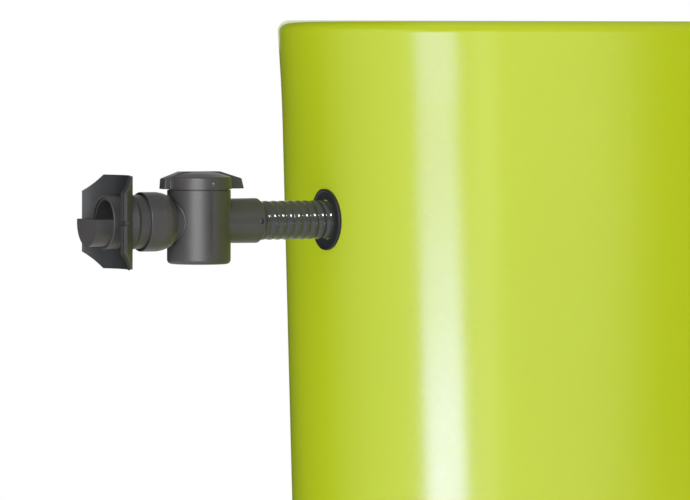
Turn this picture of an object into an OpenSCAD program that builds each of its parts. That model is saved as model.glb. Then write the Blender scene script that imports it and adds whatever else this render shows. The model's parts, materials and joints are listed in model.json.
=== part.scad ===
// Rain barrel with a drop-in lid, a draw-off tap and a filler with a filter.
// Millimetres. +Z is up and the origin is the centre of the base, on the floor.
// The filler's axis runs along X, out of the wall on the -X side. The tap is on the -Y side.

/* [Barrel] */
// Height of the rim above the floor
barrel_h = 1000; // [850:10:1300]
// Outer diameter at the rim
rim_d = 750; // [600:10:900]
// Outer diameter at the floor, before the bottom corner is rounded
base_d = 690; // [540:10:740]
// Thickness of the moulded wall
wall = 5; // [3:0.5:7]
// Height of the flared band under the rim
flare_h = 66; // [50:2:100]
// How far the flared band leans out past the taper
flare_out = 4; // [1:0.2:12]
// Rounding of the rim's outer edge
rim_round = 10.5; // [8:0.5:14]
// Width of the rim's top, from its outer edge to the lid recess
rim_w = 30; // [26:1:45]
// Rounding of the corner between wall and base
bottom_round = 28; // [15:1:45]

/* [Lid] */
// Depth of the lid's ledge below the top of the rim
seat_drop = 20; // [16:1:30]
// Width of the ledge that carries the lid
seat_w = 22; // [14:1:34]
// Depth of the lip that hangs from the ledge
lip_h = 18; // [12:1:30]
// Thickness of the lid
lid_t = 3.5; // [2.5:0.5:5]
// Gap all round between the lid and its recess
lid_gap = 1.5; // [0.5:0.5:4]
// How far the lid's panel stands above its flange
panel_rise = 5; // [2:0.5:6]
// Depth of the locating ring under the lid
lid_ring_h = 10; // [6:1:16]
// Radius of the hand pocket at its mouth
pocket_r = 66; // [50:1:90]
// Depth of the hand pocket
pocket_d = 30; // [22:1:45]
// Width of the handle bar across the pocket
handle_w = 22; // [16:1:30]
// Thickness of the handle bar
handle_t = 9; // [6:0.5:11]

/* [Filler] */
// Drop of the filler's axis below the top of the rim
fill_drop = 183; // [165:1:260]
// Outer diameter of the round pipe that the saddle fits
pipe_d = 100; // [80:1:110]
// Distance from that pipe's axis to the filter's axis
pipe_reach = 126; // [122:1:150]
// Distance from the filter's axis to the end of its hose socket
socket_reach = 59.5; // [56:0.5:80]
// Length of hose that shows between the socket and the grommet
hose_free = 68; // [40:1:160]

/* [Filter housing] */
// Outer diameter of the filter housing
housing_d = 58; // [54:1:66]
// Wall thickness of the housing
housing_wall = 3.2; // [2.4:0.2:4]
// Height of the cap's seat above the filler's axis
housing_top = 28.4; // [27:0.2:36]
// Depth of the housing's floor below the filler's axis
housing_drop = 39.5; // [35:0.5:50]
// Rounding of the housing's bottom edge
housing_round = 4.5; // [2:0.5:6]
// Outer diameter of the hose socket
socket_d = 41; // [40:0.5:44]
// Outer diameter of the inlet neck, between the housing and the union
inlet_neck_d = 36.8; // [34:0.2:38]
// Outer diameter of the inlet stub, inside the union
stub_d = 42.4; // [38:0.2:43]

/* [Filter cap] */
// Thickness of the cap's skirt
skirt_t = 1.8; // [1.4:0.2:2.6]
// Height of the cap's skirt
skirt_h = 11; // [8:0.5:14]
// Rise of the cap's dome above the skirt
dome_rise = 5.2; // [3:0.2:9]
// Width of the grip bar across the cap
ear_w = 12; // [6:0.5:16]
// Reach of the short ear from the cap's axis, on the inlet side
ear_short = 37.5; // [34:0.5:42]
// Reach of the long ear from the cap's axis, on the hose side
ear_long = 43; // [36:0.5:52]

/* [Filter insert] */
// Wall thickness of the shutter sleeve
sleeve_t = 1.5; // [1:0.1:2]
// Wall thickness of the strainer basket
basket_t = 1.4; // [1:0.1:2]
// Width of one strainer slot
slot_w = 1.6; // [1:0.1:2.4]
// Height of the strainer slots
slot_h = 34; // [20:1:40]
// Number of strainer slots
slot_count = 17; // [9:2:21]

/* [Hose] */
// Diameter over the hose's spiral ribs
hose_d = 35.8; // [34:0.2:36.6]
// Bore of the hose
hose_bore_d = 29.6; // [26:0.2:30.4]
// Depth of the spiral groove between ribs
rib_depth = 1.5; // [0.8:0.1:2]
// Pitch of the spiral ribs
rib_pitch = 8.15; // [6:0.05:12]
// Length of hose that hangs inside the barrel, from the wall's outside
hose_inside = 52; // [30:1:90]

/* [Grommet] */
// Diameter of the grommet's outer flange
grommet_d = 56.5; // [52:0.5:70]
// Diameter of the hole that the grommet sits in
grommet_hole_d = 44; // [42:0.5:48]
// Thickness of the grommet's flanges
grommet_t = 3; // [2:0.5:6]

/* [Saddle] */
// Height of the saddle plate
saddle_h = 84; // [72:1:110]
// Width of the saddle plate, measured straight across
saddle_w = 82; // [68:1:92]
// Size of the saddle plate's cut corners
saddle_cut = 15; // [8:1:20]
// Thickness of the saddle plate
saddle_t = 2.2; // [1.6:0.2:3.5]
// Thickness of the rubber pad under the saddle
pad_t = 1.5; // [1:0.1:3]
// Outer diameter of the saddle's tube
tube_d = 49; // [48:0.5:52]
// Wall thickness of the saddle's tube
tube_wall = 2.4; // [1.6:0.1:2.8]
// Outer diameter of the union collar
collar_d = 54; // [53.5:0.5:60]
// Length of the union collar
collar_len = 27.5; // [26:0.5:32]
// How far the catch scoop reaches into the pipe, from the pipe's outside
scoop_reach = 36; // [20:1:44]

/* [Tap] */
// Height of the tap's axis above the floor
tap_z = 112; // [104:1:200]
// Diameter of the flat pad moulded round the tap hole
pad_d = 70; // [60:1:90]
// Outer diameter of the tap's threaded tail
tail_d = 26.4; // [24:0.2:30]
// Outer diameter of the tap's barrel
tap_d = 33; // [32:0.5:40]
// Diameter of the ball in the tap
ball_d = 22; // [18:0.5:23]
// Bore through the ball and the tail
flow_d = 13; // [9:0.5:14]
// Length of the lever from the spindle's axis
lever_len = 62; // [40:1:90]
// Drop of the spout's end below the tap's axis
spout_drop = 32; // [30:1:45]
// Diameter of the hose tail's plain tip
nozzle_d = 18.6; // [16:0.2:19]
// Length of the hose tail below the union nut
nozzle_len = 34; // [28:1:44]

/* [Clearances] */
// Gap between pieces that stay together
fit_gap = 0.2; // [0.1:0.05:0.3]
// Gap between pieces that move past each other
run_gap = 0.4; // [0.3:0.05:0.6]

/* [Hidden] */
$fn = 96;

lime = "#b6c832";
dark = "#4b4845";
black = "#23272c";
steel = "#c6cacd";

// Barrel: the wall is a cone, with a flared band and a rolled-in rim above it.
rim_r = rim_d / 2;
base_r = base_d / 2;
neck_z = barrel_h - flare_h;
neck_r = rim_r - flare_out;
slope = (neck_r - base_r) / neck_z;
lean = atan(slope);
stretch = sqrt(1 + slope * slope);
flare_slope = flare_out / (flare_h - rim_round);
flare_stretch = sqrt(1 + flare_slope * flare_slope);
flare_blend = 24;
edge_round = 3;
rim_in_r = rim_r - rim_w;
seat_z = barrel_h - seat_drop;
mouth_r = rim_in_r - seat_w;
base_groove_r = 0.62 * base_r;
base_groove_w = 16;
base_groove_d = 3;

function wall_r(z) = base_r + slope * z;
function arc(c, r, from, to, n) =
    [for (i = [0 : n]) let (a = from + (to - from) * i / n) c + r * [cos(a), sin(a)]];
function curve(a, b, c, n) =
    [for (i = [0 : n]) let (t = i / n) (1 - t) * (1 - t) * a + 2 * t * (1 - t) * b + t * t * c];
function reverse(list) = [for (i = [len(list) - 1 : -1 : 0]) list[i]];
// The bend from taper to flare, moved inwards by a wall of thickness t.
function flare_bend(t) = curve(
    [wall_r(neck_z - flare_blend) - t * stretch, neck_z - flare_blend],
    [neck_r - t * (stretch + flare_stretch) / 2, neck_z],
    [neck_r + flare_slope * flare_blend - t * flare_stretch, neck_z + flare_blend], 8);

// Lid: its panel lies below the top of the rim, so the rim hides it from the side.
lid_r = rim_in_r - lid_gap;
lid_ring_r = mouth_r - lid_gap;
flange_z = seat_z + lid_t;
panel_z = flange_z + panel_rise;
panel_r = mouth_r - 4;
panel_step = 8;
pocket_draft = 8;
pocket_floor = panel_z - pocket_d;
handle_half = pocket_r + 18;
handle_screw_x = pocket_r + 9;
handle_screw_r = 2;
handle_boss_r = 6;
handle_boss_h = 7;
screw_head_r = 4;
screw_head_h = 2.4;

// Filler: places along its axis are measured from the filter's axis, with +x towards the barrel.
fill_z = barrel_h - fill_drop;
fill_r = wall_r(fill_z);
wall_at = socket_reach + hose_free + grommet_t;
filter_x = -fill_r - wall_at;

// Housing
housing_r = housing_d / 2;
bore_r = housing_r - housing_wall;
floor_t = 3;
floor_dish = 1;
neck_r_out = housing_r - skirt_t - run_gap + 0.6;
seal_groove = 0.9;
seal_h = 2;
socket_r = socket_d / 2;
socket_chamfer = 2.2;
socket_bore_r = hose_d / 2 + fit_gap;
socket_floor = bore_r + 8;
hose_sides = 16;
nozzle_r = hose_bore_d / 2 * cos(180 / hose_sides) - fit_gap;
nozzle_wall = 2;
nozzle_reach = socket_reach - 9;
stub_r = stub_d / 2;
stub_wall = 2.6;
inlet_neck_r = inlet_neck_d / 2;
inlet_neck_show = 3;
stub_inset = 2;
latch_x = socket_reach - 5.7;
latch_len = 4.2;
latch_w = 5;

// Cap
cap_in_r = neck_r_out + run_gap;
cap_r = cap_in_r + skirt_t;
cap_gap = 0.7;
rest_gap = 0.05;
cap_bottom = housing_top + cap_gap;
cap_shoulder = cap_bottom + skirt_h;
cap_top = cap_shoulder + dome_rise;
cap_roof_t = 2.4;
cap_roof = cap_shoulder - cap_roof_t + 1;
neck_top = cap_roof - rest_gap;
seal_z = neck_top - 4;
cap_edge = 1.6;
ear_lift = 0.4;
ear_tip = cap_shoulder - 1.2;
ear_flat = 19;
ear_root_w = ear_w + 2;
ear_root_reach = cap_r + 2.9;
ear_root_h = skirt_h - 2;
mark_r = 1.1;
mark_angle = 90;
boss_r = 5.5;
pin_r = 2.5;
pin_head_r = 5;
pin_head_h = 2;
bridge_w = 10;
bridge_t = 3;
bridge_top = cap_roof - 8;

// Insert
sleeve_r = bore_r - run_gap;
sleeve_in_r = sleeve_r - sleeve_t;
sleeve_bottom = -housing_drop + floor_t + floor_dish + 3;
basket_r = sleeve_in_r - run_gap;
basket_in_r = basket_r - basket_t;
basket_bottom = sleeve_bottom + 1;
inlet_port_r = 15.5;
outlet_port_r = 12.5;

// Saddle side, as distances from the pipe's axis
pipe_r = pipe_d / 2;
pad_in_r = pipe_r + 0.15;
plate_in_r = pad_in_r + pad_t;
plate_r = plate_in_r + saddle_t;
tube_r = tube_d / 2;
tube_in_r = tube_r - tube_wall;
collar_from = pipe_reach - housing_r - inlet_neck_show - collar_len;
tube_grip = 13.5;
tube_end = collar_from + tube_grip;
spigot_end = pipe_r - 20;
spigot_len = 12;
spigot_groove = 1.6;
spigot_groove_d = 1;
seal_proud = 0.8;
collar_r = collar_d / 2;
collar_in_r = tube_r + fit_gap;
collar_nose = 12;
collar_nose_bend = 6.5;
collar_nose_drop = 3.5;
stub_from = housing_r + inlet_neck_show + stub_inset;
stub_reach = pipe_reach - tube_end + 11;
notch_r = 2;
saddle_fillet = min(3.5, (collar_from - plate_r) / 2);
scoop_r = tube_in_r - fit_gap;
scoop_t = 1.8;
scoop_lip = 3;

// Tap: its axis is level, and the moulded pad gives it flat faces to seal on.
pad_proud = 4;
pad_r = pad_d / 2;
pad_face = wall_r(tap_z + pad_r) + pad_proud;
pad_inner = wall_r(tap_z - pad_r) - wall - pad_r * pad_r / (2 * wall_r(tap_z)) - 3;
tail_r = tail_d / 2;
tap_hole_r = tail_r + 0.4;
tap_gasket_t = 3;
tap_gasket_r = tail_r + 8;
flange_t = 5;
flange_r = tap_gasket_r + 1;
nut_t = 10;
nut_flats = tail_d + 10;
tail_past_nut = 3;
tap_r = tap_d / 2;
flow_r = flow_d / 2;
ball_r = ball_d / 2;
chamber_r = ball_r + 1.5;
seat_t = ball_r * 0.55;
ball_at = flange_t + tap_gasket_t + ball_r + 12;
chamber_from = ball_at - ball_r - 1;
plug_from = ball_at + ball_r + 1;
spout_r = 12;
spout_at = plug_from + 11;
tap_front = spout_at + spout_r + 2;
plug_bore_r = flow_r + 0.5;
plug_seal_t = 1.6;
plug_cap_t = 6;
spindle_r = 4;
gland_r = 8.5;
gland_h = 12;
gland_top = tap_r + gland_h - 3;
gland_pocket = 3;
blade_t = 2.6;
blade_w = 9;
blade_in = 3.2;
square = 5.6;
hub_r = 9.5;
hub_h = 10;
hub_z = gland_top + run_gap;
lever_w = 12;
lever_t = 6;
lever_rise = 8;
lever_screw_r = 1.6;
spout_bore_r = 8;
washer_t = 2;
nozzle_flange_t = 3;
tail_nut_r = spout_r + 4.5;
tail_nut_lip = 3;
tail_nut_up = 13;
tip_r = nozzle_d / 2;
tip_len = 10;
barb_r = tip_r + 0.9;
tip_wall = 2.6;

// A cylinder or a tube along X between two places.
module x_rod(r, from, to) {
    translate([from, 0, 0]) rotate([0, 90, 0]) cylinder(r = r, h = to - from);
}

module x_tube(r, bore, from, to) {
    difference() {
        x_rod(r, from, to);
        x_rod(bore, from - 1, to + 1);
    }
}

module x_cone(r_from, r_to, from, to) {
    translate([from, 0, 0]) rotate([0, 90, 0]) cylinder(r1 = r_from, r2 = r_to, h = to - from);
}

module ring(r, bore, z, h) {
    translate([0, 0, z]) difference() {
        cylinder(r = r, h = h);
        translate([0, 0, -1]) cylinder(r = bore, h = h + 2);
    }
}

// The filler's own frame: origin on the filter's axis, +x towards the barrel.
module at_filter() {
    translate([filter_x, 0, fill_z]) children();
}

// The frame of the pipe under the saddle: origin on its axis, +x towards the filter.
module at_pipe() {
    translate([filter_x - pipe_reach, 0, fill_z]) children();
}

// The tap's own frame: origin on the pad's face, +x out of the barrel.
module at_tap() {
    translate([0, -pad_face, tap_z]) rotate([0, 0, -90]) children();
}

// The barrel's tapered wall as a solid cone near the filler, moved outwards by out.
module wall_cone(out) {
    reach = grommet_d;
    translate([0, 0, fill_z - reach])
        cylinder(r1 = wall_r(fill_z - reach) + out * stretch, r2 = wall_r(fill_z + reach) + out * stretch,
            h = 2 * reach, $fn = 200);
}

module barrel_profile() {
    corner = [base_r + slope * bottom_round - bottom_round * stretch, bottom_round];
    rim = [rim_r - rim_round, barrel_h - rim_round];
    groove_in = base_groove_r - base_groove_w / 2;
    groove_out = base_groove_r + base_groove_w / 2;
    polygon(concat(
        [[0, 0], [groove_in, 0], [groove_in + base_groove_d, base_groove_d],
            [groove_out - base_groove_d, base_groove_d], [groove_out, 0]],
        arc(corner, bottom_round, -90, -lean, 9),
        flare_bend(0),
        arc(rim, rim_round, 0, 90, 10),
        arc([rim_in_r + edge_round, barrel_h - edge_round], edge_round, 90, 180, 5),
        [[rim_in_r, seat_z]],
        arc([mouth_r + edge_round, seat_z - edge_round], edge_round, 90, 180, 5),
        [[mouth_r, seat_z - lip_h], [mouth_r + wall, seat_z - lip_h], [mouth_r + wall, seat_z - wall],
            [rim_in_r + wall, seat_z - wall], [rim_in_r + wall, barrel_h - wall]],
        arc(rim, rim_round - wall, 90, 0, 6),
        reverse(flare_bend(wall)),
        arc(corner, bottom_round - wall, -lean, -90, 7),
        [[groove_out + wall, wall], [groove_out - base_groove_d + wall, wall + base_groove_d],
            [groove_in + base_groove_d - wall, wall + base_groove_d], [groove_in - wall, wall], [0, wall]]));
}

module barrel_shell() {
    color(lime) difference() {
        union() {
            rotate_extrude($fn = 200) barrel_profile();
            at_tap() x_rod(pad_r, pad_inner - pad_face, 0);
        }
        at_tap() x_rod(tap_hole_r, pad_inner - pad_face - 1, 1);
        at_filter() x_rod(grommet_hole_d / 2, wall_at - wall, wall_at + 4 * wall);
    }
}

module barrel_lid() {
    pocket_in = pocket_r - pocket_draft;
    color(lime) difference() {
        union() {
            rotate_extrude($fn = 200) polygon([
                [0, pocket_floor], [pocket_in, pocket_floor], [pocket_r, panel_z],
                [panel_r - panel_step, panel_z], [panel_r, flange_z], [lid_r, flange_z],
                [lid_r, seat_z], [lid_ring_r, seat_z], [lid_ring_r, seat_z - lid_ring_h],
                [lid_ring_r - lid_t, seat_z - lid_ring_h], [lid_ring_r - lid_t, seat_z],
                [panel_r - panel_step - 1, panel_z - lid_t], [pocket_r + lid_t, panel_z - lid_t],
                [pocket_in + lid_t, pocket_floor - lid_t], [0, pocket_floor - lid_t]]);
            for (side = [-1, 1])
                translate([side * handle_screw_x, 0, panel_z - handle_boss_h])
                    cylinder(r = handle_boss_r, h = handle_boss_h);
        }
        for (side = [-1, 1])
            translate([side * handle_screw_x, 0, panel_z - handle_boss_h - 1])
                cylinder(r = handle_screw_r + fit_gap, h = handle_boss_h + 2);
    }
}

module lid_handle() {
    color(dark) difference() {
        union() {
            translate([-handle_half + handle_w / 2, -handle_w / 2, panel_z])
                cube([2 * handle_half - handle_w, handle_w, handle_t]);
            for (side = [-1, 1])
                translate([side * (handle_half - handle_w / 2), 0, panel_z])
                    cylinder(d = handle_w, h = handle_t);
        }
        for (side = [-1, 1]) translate([side * handle_screw_x, 0, panel_z]) {
            translate([0, 0, -1]) cylinder(r = handle_screw_r + fit_gap, h = handle_t + 2);
            translate([0, 0, handle_t - screw_head_h])
                cylinder(r = screw_head_r + fit_gap, h = screw_head_h + 1);
        }
    }
}

module lid_handle_screws() {
    color(steel) for (side = [-1, 1]) translate([side * handle_screw_x, 0, panel_z]) {
        translate([0, 0, handle_t - screw_head_h]) cylinder(r = screw_head_r, h = screw_head_h - 0.4);
        translate([0, 0, -handle_boss_h])
            cylinder(r = handle_screw_r, h = handle_boss_h + handle_t - screw_head_h);
    }
}

// Rubber grommet: a flange on each face of the wall, joined by a neck in the hole.
module wall_grommet() {
    color(black) difference() {
        union() {
            intersection() {
                at_filter() x_rod(grommet_d / 2, wall_at - 2 * grommet_t, wall_at + 2 * wall);
                difference() {
                    wall_cone(grommet_t);
                    wall_cone(0);
                }
            }
            intersection() {
                at_filter() x_rod(grommet_d / 2 - 3, wall_at - 2 * grommet_t, wall_at + 4 * wall);
                difference() {
                    wall_cone(-wall);
                    wall_cone(-wall - grommet_t);
                }
            }
            at_filter() x_rod(grommet_hole_d / 2 - fit_gap,
                wall_at - grommet_t / 2, wall_at + wall + grommet_t / 2);
        }
        at_filter() x_rod(hose_d / 2 + fit_gap, 0, 2 * wall_at);
    }
}

// Spiral-ribbed hose: one helical rib on a plain tube, plain where the ferrule grips it.
hose_steps = 8;
hose_from = nozzle_reach - 12;
hose_to = wall_at + hose_inside;
hose_rings = round((hose_to - hose_from) / rib_pitch * hose_steps);
hose_valley = hose_d / 2 - rib_depth;

function rib_share(x) = min(1, max(0, (x - socket_reach) / rib_pitch * 2));
function hose_r(x, a) =
    hose_valley + rib_depth * rib_share(x) * pow((1 + cos(360 * (x - wall_at) / rib_pitch - a)) / 2, 0.7);
function hose_point(r, x, a) = [x, r * cos(a), r * sin(a)];

module filler_hose() {
    step = (hose_to - hose_from) / hose_rings;
    n = hose_sides;
    points = concat(
        [for (i = [0 : hose_rings], j = [0 : n - 1])
            let (x = hose_from + i * step, a = 360 * j / n) hose_point(hose_r(x, a), x, a)],
        [for (x = [hose_from, hose_to], j = [0 : n - 1]) hose_point(hose_bore_d / 2, x, 360 * j / n)]);
    bore = (hose_rings + 1) * n;
    last = hose_rings * n;
    faces = concat(
        [for (i = [0 : hose_rings - 1], j = [0 : n - 1]) let (k = (j + 1) % n)
            each [[i * n + j, i * n + k, (i + 1) * n + k], [i * n + j, (i + 1) * n + k, (i + 1) * n + j]]],
        [for (j = [0 : n - 1]) let (k = (j + 1) % n)
            each [[bore + j, bore + n + k, bore + k], [bore + j, bore + n + j, bore + n + k],
                [j, bore + k, k], [j, bore + j, bore + k],
                [last + j, last + k, bore + n + k], [last + j, bore + n + k, bore + n + j]]]);
    color("#55574f") at_filter() polyhedron(points, faces);
}

// Ferrule on the hose's plain end, with two latch noses that snap into the socket's windows.
module hose_ferrule() {
    bore = hose_valley + fit_gap;
    from = nozzle_reach - 10;
    color(dark) at_filter() {
        x_tube(socket_bore_r - fit_gap, bore, from, socket_reach - 0.5);
        for (side = [-1, 1]) scale([1, side, 1])
            translate([latch_x - latch_len / 2 + fit_gap, bore + 0.5, -latch_w / 2 + fit_gap])
                cube([latch_len / 2, socket_r - bore - 1.1, latch_w - 2 * fit_gap]);
    }
}

module filter_housing() {
    corner = [housing_r - housing_round, -housing_drop + floor_dish + housing_round];
    color(dark) at_filter() difference() {
        union() {
            rotate_extrude() polygon(concat(
                [[0, -housing_drop]],
                arc(corner, housing_round, -80, 0, 7),
                [[housing_r, housing_top], [neck_r_out, housing_top],
                    [neck_r_out, neck_top], [0, neck_top]]));
            x_rod(inlet_neck_r, -stub_from - stub_inset, 0);
            x_rod(stub_r, -stub_reach, -stub_from);
            x_rod(socket_r, 0, socket_reach - socket_chamfer);
            x_cone(socket_r, socket_bore_r + 0.8, socket_reach - socket_chamfer, socket_reach);
        }
        translate([0, 0, -housing_drop + floor_t + floor_dish])
            cylinder(r = bore_r, h = housing_drop + neck_top);
        x_rod(inlet_neck_r - stub_wall, -stub_reach - 1, 0);
        x_rod(nozzle_r - nozzle_wall, 0, socket_floor + 1);
        difference() {
            x_rod(socket_bore_r, socket_floor, socket_reach + 1);
            x_tube(nozzle_r, nozzle_r - nozzle_wall, socket_floor - 1, nozzle_reach);
        }
        for (side = [-1, 1]) scale([1, side, 1])
            translate([latch_x - latch_len / 2, socket_bore_r - 1, -latch_w / 2])
                cube([latch_len, socket_r, latch_w]);
        ring(neck_r_out + 1, neck_r_out - seal_groove, seal_z, seal_h);
    }
}

// Cap: a skirt and dome, crossed by a grip bar whose ends stand out as ears.
module filter_cap() {
    color(dark) at_filter() difference() {
        union() {
            rotate_extrude() polygon(concat(
                [[0, cap_bottom], [cap_r, cap_bottom], [cap_r, cap_shoulder - cap_edge]],
                curve([cap_r, cap_shoulder - cap_edge], [cap_r, cap_shoulder],
                    [cap_r - cap_edge, cap_shoulder + 0.4], 4),
                curve([cap_r - cap_edge, cap_shoulder + 0.4], [cap_r / 2, cap_top], [0, cap_top], 8)));
            translate([0, ear_w / 2, 0]) rotate([90, 0, 0]) linear_extrude(ear_w) polygon([
                [-ear_short, cap_bottom + ear_lift], [-ear_short + 0.8, ear_tip],
                [-ear_flat, cap_top], [ear_flat, cap_top],
                [ear_long - 2.5, ear_tip], [ear_long, cap_bottom + ear_lift]]);
            translate([-ear_root_reach, -ear_root_w / 2, cap_bottom + ear_lift])
                cube([2 * ear_root_reach, ear_root_w, ear_root_h]);
            rotate([0, 0, -mark_angle]) translate([cap_r - 0.3, 0, cap_bottom + skirt_h / 2])
                rotate([0, 90, 0]) cylinder(r = mark_r, h = 0.8);
        }
        translate([0, 0, cap_bottom - 1]) difference() {
            cylinder(r = cap_in_r, h = cap_roof - cap_bottom + 1);
            cylinder(r = boss_r, h = cap_roof - cap_bottom + 1);
        }
        translate([0, 0, cap_bottom - 1])
            cylinder(r = boss_r + 1, h = bridge_top + run_gap - cap_bottom + 1);
        translate([0, 0, bridge_top]) cylinder(r = pin_r + fit_gap, h = cap_roof - bridge_top);
    }
}

module cap_seal() {
    color(black) at_filter()
        ring(neck_r_out + run_gap / 4, neck_r_out - seal_groove + 0.05, seal_z + 0.05, seal_h - 0.1);
}

// Shutter sleeve: turns with the cap, and its ports then move off the inlet and the outlet.
module shutter_sleeve() {
    color(dark) at_filter() difference() {
        ring(sleeve_r, sleeve_in_r, sleeve_bottom, cap_roof - sleeve_bottom);
        x_rod(inlet_port_r, -housing_r, 0);
        x_rod(outlet_port_r, 0, housing_r);
    }
}

// Strainer basket: open to the inlet, slotted towards the outlet, hung from the cap by its bridge.
module filter_basket() {
    slot_bottom = basket_bottom + basket_t + 4;
    color("#8d9094") at_filter() difference() {
        union() {
            difference() {
                translate([0, 0, basket_bottom]) cylinder(r = basket_r, h = bridge_top - basket_bottom);
                translate([0, 0, basket_bottom + basket_t])
                    cylinder(r = basket_in_r, h = bridge_top - basket_bottom);
            }
            intersection() {
                translate([-basket_r, -bridge_w / 2, bridge_top - bridge_t])
                    cube([2 * basket_r, bridge_w, bridge_t]);
                translate([0, 0, basket_bottom])
                    cylinder(r = basket_r - basket_t / 2, h = bridge_top - basket_bottom);
            }
        }
        x_rod(inlet_port_r - 0.5, -housing_r, 0);
        for (i = [0 : slot_count - 1])
            rotate([0, 0, (i - (slot_count - 1) / 2) * 200 / (slot_count - 1)])
                translate([basket_in_r - 2, -slot_w / 2, slot_bottom]) cube([basket_t + 4, slot_w, slot_h]);
        translate([0, 0, bridge_top - bridge_t - 1]) cylinder(r = pin_r + run_gap, h = bridge_t + 2);
    }
}

// Shouldered screw on which the cap turns above the basket's bridge.
module basket_pin() {
    color(steel) at_filter() {
        translate([0, 0, bridge_top - bridge_t - run_gap - pin_head_h])
            cylinder(r = pin_head_r, h = pin_head_h);
        translate([0, 0, bridge_top - bridge_t - run_gap]) cylinder(r = pin_r, h = bridge_t + run_gap + 7);
    }
}

// Union collar: slides over the saddle's tube and closes on the housing's stub.
module union_collar() {
    to = collar_from + collar_len;
    nose_bore = stub_r + fit_gap;
    color(dark) at_pipe() difference() {
        union() {
            x_cone(collar_r - 0.8, collar_r, collar_from, collar_from + 2);
            x_rod(collar_r, collar_from + 2, to - collar_nose);
            x_cone(collar_r, collar_r - collar_nose_drop / 4, to - collar_nose, to - collar_nose_bend);
            x_cone(collar_r - collar_nose_drop / 4, collar_r - collar_nose_drop, to - collar_nose_bend, to);
        }
        x_rod(collar_in_r, collar_from - 1, tube_end + 4);
        x_rod(nose_bore, collar_from, to + 1);
    }
}

module collar_seal() {
    color(black) at_pipe() x_tube(tube_r, stub_r + 0.1, tube_end + 0.1, tube_end + 3.9);
}

// The saddle's outline, seen along the filler's axis.
module saddle_outline(grow) {
    w = saddle_w / 2 + grow;
    h = saddle_h / 2 + grow;
    cut = saddle_cut;
    polygon([[-w, -h + cut], [-w + cut, -h], [w - cut, -h], [w, -h + cut],
        [w, h - cut], [w - cut, h], [-w + cut, h], [-w, h - cut]]);
}

// A curved plate that lies on the pipe, between two radii.
module pipe_wrap(r_in, r_out, grow) {
    intersection() {
        ring(r_out, r_in, -saddle_h, 2 * saddle_h);
        rotate([90, 0, 90]) linear_extrude(2 * pipe_r) saddle_outline(grow);
    }
}

module pipe_saddle() {
    color(dark) at_pipe() difference() {
        union() {
            pipe_wrap(plate_in_r, plate_r, 0);
            x_cone(tube_r + saddle_fillet, tube_r, plate_r - 0.5, plate_r + saddle_fillet);
            x_rod(tube_r, spigot_end, tube_end);
        }
        difference() {
            x_rod(tube_r + saddle_fillet + 1, 0, plate_r + 1);
            x_rod(tube_r, -1, plate_r + 2);
            pipe_wrap(plate_in_r, 2 * plate_r, 0);
        }
        x_rod(tube_in_r, 0, tube_end + 1);
        x_tube(tube_r + 1, tube_r - spigot_groove_d,
            spigot_end + spigot_len, spigot_end + spigot_len + spigot_groove);
        for (side = [-1, 1]) translate([0, side * saddle_w / 2, 0]) x_rod(notch_r, 0, plate_r + 1);
    }
}

module saddle_pad() {
    color(black) at_pipe() difference() {
        pipe_wrap(pad_in_r, plate_in_r, 0.6);
        x_rod(tube_r + seal_proud + fit_gap, 0, plate_r);
        for (side = [-1, 1]) translate([0, side * (saddle_w / 2 + 0.6), 0]) x_rod(notch_r, 0, plate_r + 1);
    }
}

module spigot_seal() {
    from = spigot_end + spigot_len;
    color(black) at_pipe()
        x_tube(tube_r + seal_proud, tube_r - spigot_groove_d + 0.05,
            from + 0.05, from + spigot_groove - 0.05);
}

// Catch scoop: a ring held in the saddle's tube, with a trough that reaches into the pipe.
module catch_scoop() {
    ring_from = spigot_end + 2;
    ring_to = tube_end - 24;
    tip = pipe_r - scoop_reach;
    color(dark) at_pipe() {
        x_tube(scoop_r, scoop_r - scoop_t, ring_from, ring_to);
        intersection() {
            union() {
                x_tube(scoop_r, scoop_r - scoop_t, tip, ring_from);
                x_rod(scoop_r, tip, tip + scoop_t);
            }
            translate([0, -scoop_r - 1, -scoop_r - 1])
                cube([2 * pipe_r, 2 * scoop_r + 2, scoop_r + 1 + scoop_lip]);
        }
    }
}

module tap_body() {
    inner_end = pad_inner - pad_face - tap_gasket_t - nut_t - tail_past_nut;
    color(dark) at_tap() difference() {
        union() {
            x_rod(tail_r, inner_end, tap_gasket_t + 1);
            x_rod(flange_r, tap_gasket_t, tap_gasket_t + flange_t);
            x_rod(tap_r, tap_gasket_t + 1, tap_front);
            translate([ball_at, 0, 0]) cylinder(r = gland_r, h = gland_top);
            translate([spout_at, 0, -spout_drop]) cylinder(r = spout_r, h = spout_drop);
        }
        x_rod(flow_r + 0.5, inner_end - 1, chamber_from + 1);
        x_rod(chamber_r, chamber_from, tap_front + 1);
        translate([ball_at, 0, 0]) cylinder(r = spindle_r + run_gap / 2, h = gland_top + 1);
        translate([ball_at, 0, gland_top - gland_pocket]) cylinder(r = spindle_r + 2, h = gland_pocket + 1);
        translate([spout_at, 0, -spout_drop - 1]) cylinder(r = spout_bore_r, h = spout_drop + 1);
    }
}

// End plug: holds the front seat and turns the flow down into the spout.
module tap_end_plug() {
    color(dark) at_tap() difference() {
        union() {
            x_rod(chamber_r - fit_gap, plug_from, tap_front + plug_seal_t + 1);
            x_rod(tap_r - 1, tap_front + plug_seal_t, tap_front + plug_seal_t + plug_cap_t);
        }
        x_rod(plug_bore_r, plug_from - 1, spout_at + plug_bore_r);
        translate([spout_at, 0, -chamber_r - 1]) cylinder(r = spout_bore_r, h = chamber_r + 1);
    }
}

module plug_seal() {
    color(black) at_tap() x_tube(tap_r - 1.5, chamber_r + 0.1, tap_front, tap_front + plug_seal_t);
}

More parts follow.
